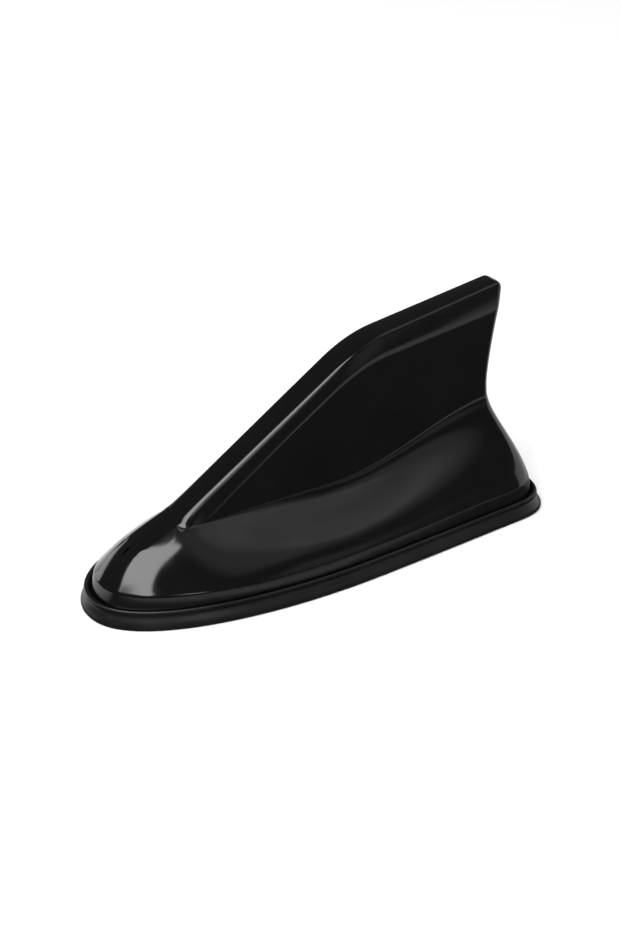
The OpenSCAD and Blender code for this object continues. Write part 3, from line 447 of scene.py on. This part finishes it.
def flare_share(k1, k2, curve, y):
    """Share of the way up a flowing side, at which it is y from the middle, found by halving."""
    low, high = 0.0, 1.0
    for _ in range(HALVINGS):
        u = (low + high) / 2
        if flare_point(k1, k2, u, *curve)[1] > y:
            low = u
        else:
            high = u
    return low


def side_points(k, k1, e, steps):
    """The flowing side up to the foot k[0] of the panel. Near the brow the panel is cut into the
    flowing side, so k[0] is moved onto it."""
    curve = side_curve(k[0][0])
    x, y, z = k[0]
    near = 0 if e > 0 else 1 - ease((x - BROW_X) / CUT_REACH)
    if near == 0:
        return [flare_point(k1, k[0], i / (steps + 1), *curve) for i in range(1, steps + 1)]
    end_y = lerp(y, spine_y(x, e), near)
    plain = z + (y - end_y) * tan(curve[1])
    level = (spine_z(BROW_X) - MIN_RISE + (RAKE + DOME_RISE) / 2 * CUT_FADE
             * (1 - math.exp((BROW_X - x) / CUT_FADE)))
    end = np.array((x, end_y, lerp(plain, level, near)))
    share = flare_share(k1, end, curve, y)
    k[0] = flare_point(k1, end, share, *curve)
    return [flare_point(k1, end, share * i / (steps + 1), *curve) for i in range(1, steps + 1)]


def side_curve(x):
    """The curve of the flowing side where its foot on the blade is at x."""
    ahead = ease((BROW_X - x) / DOME_REACH)
    reach, fade = ease((x - BROW_X) / BROW_REACH), ease((x - BROW_X) / (FADE_X - BROW_X))
    shares = (reach, fade, reach, reach)
    aft = [lerp(a, b, share) for a, b, share in zip(BROW_CURVE, TAIL_CURVE, shares)]
    return [lerp(a, b, ahead) for a, b in zip(aft, DOME_CURVE)]


def dome_top(x, x0, z0, z1):
    """Height down the middle of the nose, from the top of the skirt smoothly up to the spine."""
    length = BROW_X - x0
    t = clamp((x - x0) / length)
    v = 1 - t
    return (v * v * (1 + 2 * t) * z0 + t * t * (3 - 2 * t) * z1
            + length * t * v * (v * tan(DOME_CURVE[0]) - t * (RAKE + DOME_RISE) / 2))


def dome_z(x, y, e):
    """Height of the nose at x and y. A section across it is the flowing side and the crown."""
    x0, x1 = NOSE_X + SHELL_IN_NOSE + LEAN_NOSE + e, TAIL_X - SHELL_IN_TAIL - LEAN_TAIL - e
    w = HALF_W - SHELL_IN_SIDE - LEAN_SIDE - e
    half = plan_y(x, x0, x1, w)
    slope = (half - plan_y(x - SLOPE_STEP, x0, x1, w)) / SLOPE_STEP
    curve = side_curve(x)
    low = skirt_z(x) - e * SKIRT_WALL
    edge = spine_y(x, e) * half / (half + BAND_EASE) * (1 + BAND_EASE / plan_y(BROW_X, x0, x1, w))
    crown = max(CROWN_H, edge * tan(curve[1]) / 2 * ease((BROW_X - x) / DOME_REACH))
    top = dome_top(x, x0, skirt_z(x0) - e * SKIRT_WALL,
                   spine_z(BROW_X) + CROWN_H - e * SLOPE_WALL)
    if y <= edge:
        return top - crown * (y / edge) ** 2
    steep = math.degrees(math.atan(tan(curve[0]) / math.sqrt(1 + slope * slope)))
    curve = [steep, *curve[1:]]
    k1, k2 = np.array((x, half, low)), np.array((x, edge, top - crown))
    return flare_point(k1, k2, flare_share(k1, k2, curve, y), *curve)[2]


def dome_share(i, count, steps, t):
    """Share of the way up a rib of the nose, so that its last points close up at the brow."""
    closing = (i / (steps + 1) * DOME_CLOSE if i <= steps
               else lerp(DOME_CLOSE, 1, (i - steps) / (count - steps)))
    return lerp(i / count, closing, t ** 3)


def rib(part, t, e):
    """One rib of the skin at inset e, from the rim up to the spine."""
    foot, top = skirt_plan(part, t, e, 0), skirt_plan(part, t, e, 1)
    k1 = np.array((*top, skirt_z(top[0]) - e * SKIRT_WALL))
    rim, bend = np.array((*foot, RIM_Z)), np.array((*foot, LEAN_Z))
    k = blade_corners(max(1, part), 0 if part == 0 else t, e)
    steps, over = FLARE_STEPS, PANEL_STEPS + 3 * ROUND_STEPS
    if e > 0:
        steps, over = INNER_STEPS, INNER_OVER
    if part == 0:
        edge = k[2] + (0 if e > 0 else SPINE_ROUND) * np.array((0, -1, CROWN_SLOPE))
        up = []
        for i in range(1, steps + over):
            share = dome_share(i, steps + over, steps, t)
            x, y = lerp(k1[0], BROW_X, share), lerp(k1[1], edge[1] * t, share)
            up.append(np.array((x, y, dome_z(x, y, e))))
        up.append(spine_row(edge, k[2][2], t))
    else:
        up = side_points(k, k1, e, steps)
        up += blade_points(k, part, t, e, up[-1])
    return [rim, *rounded(rim, bend, k1, SKIRT_ROUND, e),
            *rounded(bend, k1, up[0], SKIRT_ROUND, e), *up]


def relaxed(ribs):
    """The ribs with each level of the flowing side evened out along the part, where it passes the
    brow, by a bell-shaped average over its length."""
    points = np.array(ribs)
    first, last = 1 + 2 * ROUND_STEPS, 1 + 2 * ROUND_STEPS + FLARE_STEPS
    for level in range(first, last):
        line = points[:, level].copy()
        steps = np.linalg.norm(np.diff(line, axis=0), axis=1)
        along = np.concatenate([[0], np.cumsum(steps)])
        span = np.gradient(along)
        keep = clamp((last - level) / (last - first) / RELAX_TOP)
        for i, p in enumerate(line):
            reach = RELAX_BELL * (1 - ease(abs(p[0] - BROW_X) / RELAX_REACH))
            if reach > RELAX_LEAST:
                weight = np.exp(-((along - along[i]) / reach) ** 2 / 2) * span
                points[i, level] = lerp(p, weight @ line / weight.sum(), ease(keep))
    return [list(line) for line in points]


def add_skin(mesh, e):
    """Adds both halves of the skin at inset e to a bmesh, and returns the rim of each half."""
    ribs = [rib(0, i / FAN_N, e) for i in range(FAN_N)]
    ribs += [rib(1, i / SIDE_N, e) for i in range(SIDE_N + 1)]
    ribs += [rib(2, i / FAN_N, e) for i in range(1, FAN_N + 1)]
    if e == 0:
        ribs = relaxed(ribs)
    rims = []
    for side in (1, -1):
        grid = [[mesh.verts.new((p[0], p[1] * side, p[2])) for p in points] for points in ribs]
        rows = [[grid[FAN_N - j][-1] for j in range(FAN_N + 1)]]
        for i in range(1, SIDE_N + 1):
            edge, z4 = ribs[FAN_N + i][-1], blade_corners(1, i / SIDE_N, e)[2][2]
            crown = [spine_row(edge, z4, 1 - j / FAN_N) for j in range(1, FAN_N + 1)]
            crown = [mesh.verts.new((p[0], p[1] * side, p[2])) for p in crown]
            rows.append([grid[FAN_N + i][-1], *crown])
        rows.append([grid[FAN_N + SIDE_N + j][-1] for j in range(FAN_N + 1)])
        flip = (side < 0) != (e > 0)
        for low, high in list(zip(grid, grid[1:])) + list(zip(rows, rows[1:])):
            for a, b, c, d in zip(low, high, high[1:], low[1:]):
                corners = list(dict.fromkeys((a, b, c, d)))
                if len(corners) > 2:
                    mesh.faces.new(corners[::-1] if flip else corners)
        rims.append([points[0] for points in grid])
    return rims


def add_piece(name, mesh, sharp):
    """An object from a bmesh in mm, smooth but for edges sharper than this angle."""
    bmesh.ops.scale(mesh, vec=(MM, MM, MM), verts=mesh.verts)
    for face in mesh.faces:
        face.smooth = True
    made = bpy.data.meshes.new(name)
    mesh.to_mesh(made)
    mesh.free()
    made.set_sharp_from_angle(angle=math.radians(sharp))
    return add_object(name, made)


shell = bmesh.new()
outer_rims = add_skin(shell, 0)
inner_rims = add_skin(shell, SHELL_WALL)
for side in (0, 1):
    outer, inner = outer_rims[side], inner_rims[side]
    for a, b, c, d in zip(outer, inner, inner[1:], outer[1:]):
        shell.faces.new((a, b, c, d) if side == 0 else (d, c, b, a))
bmesh.ops.remove_doubles(shell, verts=shell.verts, dist=MERGE_GAP)
skin_tree = BVHTree.FromBMesh(shell)


def ring_of_faces(mesh, loops, closed):
    """Joins closed loops of points in turn, and the last to the first where that closes them."""
    made = [[mesh.verts.new(p) for p in loop] for loop in loops]
    for low, high in list(zip(made, made[1:])) + ([(made[-1], made[0])] if closed else []):
        for i, a in enumerate(low):
            j = (i + 1) % len(low)
            mesh.faces.new((a, low[j], high[j], high[i]))
    return made


def boss(mesh, x, y):
    """A screw boss: a tube with a blind hole, from its foot up into the skin above it."""
    turns = [(cos(360 * i / BOSS_N), sin(360 * i / BOSS_N)) for i in range(BOSS_N)]
    around = [(x + BOSS_R * c, y + BOSS_R * s) for c, s in turns]
    hole = [(x + HOLE_R * c, y + HOLE_R * s) for c, s in turns]
    tops = [skin_tree.ray_cast((*p, BASE_TOP), (0, 0, 1))[0].z + BOSS_INTO_SKIN for p in around]
    loops = [[(*p, BASE_TOP + HOLE_DEPTH) for p in hole], [(*p, BASE_TOP) for p in hole],
             [(*p, BASE_TOP) for p in around], [(*p, z) for p, z in zip(around, tops)]]
    made = ring_of_faces(mesh, loops, False)
    mesh.faces.new(made[0])
    peak = mesh.verts.new((x, y, min(tops)))
    for i, a in enumerate(made[-1]):
        mesh.faces.new((a, made[-1][(i + 1) % BOSS_N], peak))


for x, y in BOSS_PLACES:
    boss(shell, x, y)
bmesh.ops.recalc_face_normals(shell, faces=shell.faces)


def shader_group(name, inputs, outputs):
    """A shader group with these sockets, each a name and a kind, and its two end nodes."""
    made = bpy.data.node_groups.new(name, "ShaderNodeTree")
    for label, kind in inputs:
        made.interface.new_socket(name=label, in_out="INPUT", socket_type="NodeSocket" + kind)
    for label, kind in outputs:
        made.interface.new_socket(name=label, in_out="OUTPUT", socket_type="NodeSocket" + kind)
    return made, made.nodes.new("NodeGroupInput"), made.nodes.new("NodeGroupOutput")


mottle, ends, result = shader_group(
    "mottle", [("Scale", "Float"), ("Dark", "Color"), ("Light", "Color")],
    [("Color", "Color"), ("Mask", "Float")])
place = add_node(mottle, "ShaderNodeTexCoord")
cloud = add_node(mottle, "ShaderNodeTexNoise", {"Vector": place.outputs["Object"], "Detail": 6.0,
                                                "Scale": ends.outputs["Scale"], "Roughness": 0.62})
spread = ramp(mottle, cloud.outputs[0], *MOTTLE_TURN)
blend = add_node(mottle, "ShaderNodeMix", {0: spread, 6: ends.outputs["Dark"],
                                           7: ends.outputs["Light"]}, data_type="RGBA")
mottle.links.new(blend.outputs[2], result.inputs["Color"])
mottle.links.new(spread, result.inputs["Mask"])

grain, ends, result = shader_group(
    "grain", [("Scale", "Float"), ("Depth", "Float"), ("Cells", "Float")],
    [("Normal", "Vector"), ("Mask", "Float")])
place = add_node(grain, "ShaderNodeTexCoord")
fine = add_node(grain, "ShaderNodeTexNoise", {"Vector": place.outputs["Object"], "Detail": 3.0,
                                              "Scale": ends.outputs["Scale"]})
cells = add_node(grain, "ShaderNodeTexVoronoi", {"Vector": place.outputs["Object"],
                                                 "Scale": ends.outputs["Scale"]})
relief = add_node(grain, "ShaderNodeMix", {0: ends.outputs["Cells"], 2: fine.outputs[0],
                                           3: cells.outputs["Distance"]})
bump = add_node(grain, "ShaderNodeBump", {"Strength": 1.0, "Distance": ends.outputs["Depth"],
                                          "Height": relief.outputs[0]})
grain.links.new(bump.outputs[0], result.inputs["Normal"])
grain.links.new(relief.outputs[0], result.inputs["Mask"])


def finish_of(name, dark, light, rough, marks, scale, depth, mottle_scale, cells=0.0, **sockets):
    """A material: two mottled colours, a range of roughness, and grain or brush marks of a depth
    in metres. Whatever is the same all over sits on the shader's own sockets."""
    made, tree, shader = new_material(name, light, rough[1], **sockets)
    tint = add_node(tree, "ShaderNodeGroup", node_tree=mottle)
    tint.inputs["Scale"].default_value = mottle_scale
    tint.inputs["Dark"].default_value = (*dark, 1)
    tint.inputs["Light"].default_value = (*light, 1)
    relief = add_node(tree, "ShaderNodeGroup", node_tree=marks)
    relief.inputs["Scale"].default_value = scale
    relief.inputs["Depth"].default_value = depth
    if marks == grain:
        relief.inputs["Cells"].default_value = cells
    both = worked_out(tree, tint.outputs["Mask"], relief.outputs["Mask"])
    wear = ramp(tree, both, 0.0, WORN_AT, *rough)
    tree.links.new(tint.outputs["Color"], shader.inputs["Base Color"])
    tree.links.new(wear, shader.inputs["Roughness"])
    tree.links.new(relief.outputs["Normal"], shader.inputs["Normal"])
    return made


gloss_black = finish_of("gloss_black", (0.0016, 0.0016, 0.0019), (0.0028, 0.0028, 0.0033),
                        (0.075, 0.115), grain, scale=260.0, depth=0.000004, mottle_scale=40.0)
fin_shell = add_piece("fin_shell", shell, SHELL_SHARP)
fin_shell.data.materials.append(gloss_black)
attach(fin_shell, "root")
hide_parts("outer_shell")

# Seal. One moulded rubber ring: a flared lip on the roof, a shallow valley, a rounded ridge round
# the foot of the shell, the groove that the shell sits in, and a flange under the base plate. Its
# section is drawn as pairs of an inset from the outline and a height, all in mm.
SEAL_LIP = [(0.5, 0), (0.08, 0.35), (0, 1.1), (0.08, 1.75), (0.42, 2.5), (1.0, 3.4), (1.55, 4.2),
            (1.72, 4.75), (1.5, 5.15), (1.3, 5.6), (1.3, RIDGE_H - 0.45), (1.5, RIDGE_H - 0.12),
            (1.8, RIDGE_H), (2.1, RIDGE_H - 0.1)]
SEAT_IN, PAD_T, FLANGE_W = 2.35, 1.2, 5
SEAL_SEAT = [(-0.5, RIDGE_H - 0.5), (-0.4, RIM_Z), (SEAT_IN, RIM_Z), (SEAT_IN, PAD_T),
             (SEAT_IN + FLANGE_W, PAD_T), (SEAT_IN + FLANGE_W, 0)]
LIP_ROUNDS, LIP_CUTS, SEAL_SHARP = 2, (0.25, 0.75), 40


def cut_corners(points, rounds):
    """Rounds a line off by cutting its corners again and again. The two ends stay."""
    points = [np.array(p) for p in points]
    for _ in range(rounds):
        cuts = [lerp(a, b, t) for a, b in zip(points, points[1:]) for t in LIP_CUTS]
        points = [points[0], *cuts[1:-1], points[-1]]
    return points


def seal_loop(nose, side, tail, z):
    """One closed line round the seal, at these insets and this height."""
    half = [plan_point(part, i / count, nose, side, tail)
            for part, count in enumerate((FAN_N, SIDE_N, FAN_N)) for i in range(count)]
    end_x = plan_point(2, 1, nose, side, tail)[0]
    return [*((x, -y, z) for x, y in half), (end_x, 0, z), *((x, y, z) for x, y in half[:0:-1])]


seal = bmesh.new()
loops = [seal_loop(d, d, d, z) for d, z in cut_corners(SEAL_LIP, LIP_ROUNDS)]
loops += [seal_loop(SHELL_IN_NOSE + d, SHELL_IN_SIDE + d, SHELL_IN_TAIL + d, z)
          for d, z in SEAL_SEAT]
ring_of_faces(seal, loops, True)
bmesh.ops.remove_doubles(seal, verts=seal.verts, dist=MERGE_GAP)
bmesh.ops.recalc_face_normals(seal, faces=seal.faces)
seal_ring = add_piece("seal_ring", seal, SEAL_SHARP)
seal_rubber = finish_of("seal_rubber", (0.0030, 0.0030, 0.0033), (0.0060, 0.0060, 0.0062),
                        (0.26, 0.40), grain, scale=2600.0, depth=0.00003, mottle_scale=70.0,
                        Specular_IOR_Level=0.62)
seal_ring.data.materials.append(seal_rubber)
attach(seal_ring, "root")
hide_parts("seal_gasket")


# Shell screws. Five self-tapping screws of zinc-plated steel, up through the base plate: a pan head
# with a cross recess, a shank, and a thread that winds up it. One is made in nodes and set down at
# each boss. The shares are of the size that a step starts from, and the rest is in mm.
SCREW_HEAD_D, SCREW_HEAD_H, SCREW_SHANK_D, SCREW_LENGTH = 5.6, 1.6, 2.3, 6.35
SCREW_THREAD_D, SCREW_PITCH, SCREW_Z = 2.85, 1.1, 1.4
HEAD_SIDES, SHANK_SIDES, THREAD_TURN_STEPS, THREAD_SIDES = 40, 24, 20, 4
BEVEL_SHARE, BEVEL_END = 0.35, 0.80
RECESS_LONG, RECESS_WIDE, RECESS_DEEP = 0.60, 0.12, 1.1
THREAD_LONG, THREAD_AT, THREAD_TAPER, THREAD_WIDE = 0.86, 0.44, 0.93, 0.06

screw_tree = bpy.data.node_groups.new("pan_head_screws", "GeometryNodeTree")
for label, kind in [("Places", "Geometry"), ("Head Diameter", "Float"), ("Head Height", "Float"),
                    ("Shank Diameter", "Float"), ("Shank Length", "Float"),
                    ("Thread Diameter", "Float"), ("Pitch", "Float"), ("Material", "Material")]:
    screw_tree.interface.new_socket(name=label, in_out="INPUT", socket_type="NodeSocket" + kind)
screw_tree.interface.new_socket(name="Screws", in_out="OUTPUT", socket_type="NodeSocketGeometry")
given = screw_tree.nodes.new("NodeGroupInput").outputs


def screw_step(kind, inputs=None, **settings):
    """The result of a node in the screws' tree."""
    return add_node(screw_tree, kind, inputs, **settings).outputs[0]


def times(a, b):
    """A product in the screws' tree."""
    return worked_out(screw_tree, a, b)


def plus_half(a, b):
    """A sum in the screws' tree, of a and half of b."""
    return worked_out(screw_tree, a, times(b, 0.5), "ADD")


def moved(mesh, z):
    """A mesh in the screws' tree, moved up by z."""
    up = screw_step("ShaderNodeCombineXYZ", {"Z": z})
    return screw_step("GeometryNodeTransform", {"Geometry": mesh, "Translation": up})


def put_together(kind, socket, pieces, inputs=None, **settings):
    """The result of a node that takes all these pieces at one socket."""
    made = add_node(screw_tree, kind, inputs, **settings)
    for piece in pieces:
        screw_tree.links.new(piece, made.inputs[socket])
    return made.outputs[0]


head_d, head_h, shank_h = given["Head Diameter"], given["Head Height"], given["Shank Length"]
head_r = times(head_d, 0.5)
bevel_h, side_h = times(head_h, BEVEL_SHARE), times(head_h, 1 - BEVEL_SHARE)
bevel = screw_step("GeometryNodeMeshCone", {
    "Vertices": HEAD_SIDES, "Radius Top": head_r, "Depth": bevel_h,
    "Radius Bottom": times(head_r, BEVEL_END)})
head_side = screw_step("GeometryNodeMeshCylinder", {
    "Vertices": HEAD_SIDES, "Radius": head_r, "Depth": side_h})
shank = screw_step("GeometryNodeMeshCylinder", {
    "Vertices": SHANK_SIDES, "Radius": times(given["Shank Diameter"], 0.5), "Depth": shank_h})
solid = put_together("GeometryNodeMeshBoolean", "Mesh 2", (
    bevel, moved(head_side, plus_half(bevel_h, side_h)), moved(shank, plus_half(head_h, shank_h))),
    operation="UNION")
recess_size = screw_step("ShaderNodeCombineXYZ", {
    "X": times(head_d, RECESS_LONG), "Y": times(head_d, RECESS_WIDE),
    "Z": times(head_h, RECESS_DEEP)})
bar = screw_step("GeometryNodeMeshCube", {"Size": recess_size})
cross_bar = screw_step("GeometryNodeTransform", {"Geometry": bar, "Rotation": (0, 0, math.pi / 2)})
cut = put_together("GeometryNodeMeshBoolean", "Mesh 2", (bar, cross_bar), {"Mesh 1": solid},
                   operation="DIFFERENCE")
thread_h = times(shank_h, THREAD_LONG)
thread_r = times(given["Thread Diameter"], THREAD_AT)
winding = screw_step("GeometryNodeCurveSpiral", {
    "Resolution": THREAD_TURN_STEPS, "Start Radius": thread_r, "Height": thread_h,
    "Rotations": worked_out(screw_tree, thread_h, given["Pitch"], "DIVIDE"),
    "End Radius": times(thread_r, THREAD_TAPER)})
thread_edge = screw_step("GeometryNodeCurvePrimitiveCircle", {
    "Resolution": THREAD_SIDES, "Radius": times(given["Thread Diameter"], THREAD_WIDE)})
thread = screw_step("GeometryNodeCurveToMesh", {
    "Curve": winding, "Profile Curve": thread_edge, "Fill Caps": True})
whole = put_together("GeometryNodeJoinGeometry", 0, (
    cut, moved(thread, plus_half(head_h, given["Pitch"]))))
set_down = screw_step("GeometryNodeInstanceOnPoints", {
    "Points": given["Places"], "Instance": whole})
real = screw_step("GeometryNodeRealizeInstances", {0: set_down})
coated = screw_step("GeometryNodeSetMaterial", {"Geometry": real, "Material": given["Material"]})
screw_tree.links.new(coated, screw_tree.nodes.new("NodeGroupOutput").inputs[0])

zinc_plate = finish_of("zinc_plate", (0.50, 0.51, 0.53), (0.66, 0.67, 0.68), (0.22, 0.38), grain,
                       scale=1800.0, depth=0.00001, mottle_scale=300.0, Metallic=1.0)
places = bpy.data.meshes.new("screw_places")
places.from_pydata([(x * MM, y * MM, SCREW_Z * MM) for x, y in BOSS_PLACES], [], [])
case_screws = add_object("case_screws", places)
modifier = case_screws.modifiers.new("screws", "NODES")
modifier.node_group = screw_tree
values = {"Head Diameter": SCREW_HEAD_D * MM, "Head Height": SCREW_HEAD_H * MM,
          "Shank Diameter": SCREW_SHANK_D * MM, "Shank Length": SCREW_LENGTH * MM,
          "Thread Diameter": SCREW_THREAD_D * MM, "Pitch": SCREW_PITCH * MM, "Material": zinc_plate}
for item in screw_tree.interface.items_tree:
    if item.name in values:
        modifier[item.identifier] = values[item.name]
evaluated = case_screws.evaluated_get(bpy.context.evaluated_depsgraph_get())
screw_mesh = bpy.data.meshes.new_from_object(evaluated)
case_screws.modifiers.clear()
case_screws.data = screw_mesh
screw_mesh.set_sharp_from_angle(angle=math.radians(SEAL_SHARP))
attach(case_screws, "root")
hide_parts("shell_screws")


# Base and its fittings. The die-cast base plate, the foam pads that stick it to the roof, the
# turned brass bush for the roof screw and the rubber grommet of the cable outlet keep their
# modelled shapes. Brush and turning marks are a third shader group.
BRUSH_STRETCH = (0.04, 1, 1)

brush, ends, result = shader_group("brush", [("Scale", "Float"), ("Depth", "Float")],
                                   [("Normal", "Vector"), ("Mask", "Float")])
place = add_node(brush, "ShaderNodeTexCoord")
drawn = add_node(brush, "ShaderNodeMapping", {"Vector": place.outputs["Object"],
                                              "Scale": BRUSH_STRETCH})
lines = add_node(brush, "ShaderNodeTexNoise", {"Vector": drawn.outputs[0], "Detail": 4.0,
                                               "Scale": ends.outputs["Scale"]})
bump = add_node(brush, "ShaderNodeBump", {"Strength": 1.0, "Distance": ends.outputs["Depth"],
                                          "Height": lines.outputs[0]})
brush.links.new(bump.outputs[0], result.inputs["Normal"])
brush.links.new(lines.outputs[0], result.inputs["Mask"])


def dress(finish, *names):
    """Gives carried-over pieces this finish."""
    for name in names:
        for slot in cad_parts[name].material_slots:
            slot.material = finish


dress(finish_of("cast_alloy", (0.25, 0.26, 0.275), (0.36, 0.37, 0.385), (0.38, 0.56), grain,
                scale=1500.0, depth=0.00006, mottle_scale=120.0, Metallic=1.0), "base_plate")
dress(finish_of("pad_foam", (0.017, 0.017, 0.018), (0.034, 0.034, 0.036), (0.80, 0.95), grain,
                scale=2200.0, depth=0.00008, mottle_scale=200.0, cells=1.0,
                Specular_IOR_Level=0.25), "adhesive_pad")
dress(finish_of("turned_brass", (0.52, 0.37, 0.14), (0.66, 0.49, 0.21), (0.20, 0.36), brush,
                scale=2500.0, depth=0.000012, mottle_scale=180.0, Metallic=1.0), "roof_bush")
dress(finish_of("grommet_rubber", (0.016, 0.016, 0.016), (0.030, 0.030, 0.031), (0.55, 0.75), grain,
                scale=2400.0, depth=0.00003, mottle_scale=150.0), "cable_grommet")

# Electronics. The board with its solder mask, the parts that are soldered to it, the tinned sheet
# parts and the small screws are closed in by the shell.
dress(finish_of("solder_mask", (0.008, 0.085, 0.030), (0.020, 0.150, 0.058), (0.26, 0.42), brush,
                scale=900.0, depth=0.00003, mottle_scale=450.0), "main_board")
dress(finish_of("tinned_sheet", (0.54, 0.55, 0.57), (0.69, 0.70, 0.71), (0.26, 0.44), brush,
                scale=1400.0, depth=0.00001, mottle_scale=90.0, Metallic=1.0),
      "earth_plate", "shield_can", "feed_clip", "element_plate")
dress(finish_of("moulded_epoxy", (0.012, 0.012, 0.013), (0.026, 0.026, 0.028), (0.45, 0.65), grain,
                scale=3500.0, depth=0.00002, mottle_scale=400.0),
      "amplifier_chip", "power_regulator")
dress(finish_of("chip_ceramic", (0.27, 0.20, 0.12), (0.44, 0.33, 0.21), (0.35, 0.55), grain,
                scale=4000.0, depth=0.00001, mottle_scale=900.0), "chip_parts")
dress(finish_of("satin_can", (0.47, 0.49, 0.52), (0.61, 0.63, 0.66), (0.24, 0.38), brush,
                scale=2000.0, depth=0.000008, mottle_scale=200.0, Metallic=1.0),
      "smoothing_capacitor")
dress(finish_of("enamelled_wire", (0.22, 0.075, 0.025), (0.42, 0.17, 0.06), (0.20, 0.36), brush,
                scale=3000.0, depth=0.00006, mottle_scale=500.0), "tuning_coil")
dress(finish_of("gold_plate", (0.64, 0.46, 0.16), (0.82, 0.62, 0.26), (0.16, 0.30), grain,
                scale=3000.0, depth=0.000008, mottle_scale=350.0, Metallic=1.0),
      "coax_sockets", "patch_pin")
dress(zinc_plate, "board_screws", "carrier_screws")

# Aerials. The natural plastic carrier with its bare copper coil, and the fired ceramic patch on its
# foam tape, with a strip of open foam that keeps the carrier from rattling.
dress(finish_of("natural_plastic", (0.60, 0.58, 0.50), (0.74, 0.72, 0.64), (0.38, 0.52), grain,
                scale=1200.0, depth=0.00002, mottle_scale=80.0, Subsurface_Weight=0.08),
      "element_carrier")
dress(finish_of("bare_copper", (0.46, 0.17, 0.07), (0.72, 0.34, 0.16), (0.22, 0.40), brush,
                scale=2200.0, depth=0.00001, mottle_scale=260.0, Metallic=1.0), "element_coil")
dress(finish_of("fired_ceramic", (0.33, 0.22, 0.12), (0.46, 0.33, 0.20), (0.42, 0.60), grain,
                scale=2500.0, depth=0.00002, mottle_scale=300.0), "patch_aerial")
dress(finish_of("foam_tape", (0.70, 0.69, 0.63), (0.84, 0.83, 0.78), (0.75, 0.92), grain,
                scale=2600.0, depth=0.00006, mottle_scale=250.0, cells=1.0), "patch_tape")
dress(finish_of("open_foam", (0.030, 0.030, 0.033), (0.075, 0.075, 0.080), (0.85, 0.97), grain,
                scale=1400.0, depth=0.0002, mottle_scale=200.0, cells=1.0), "rattle_foam")
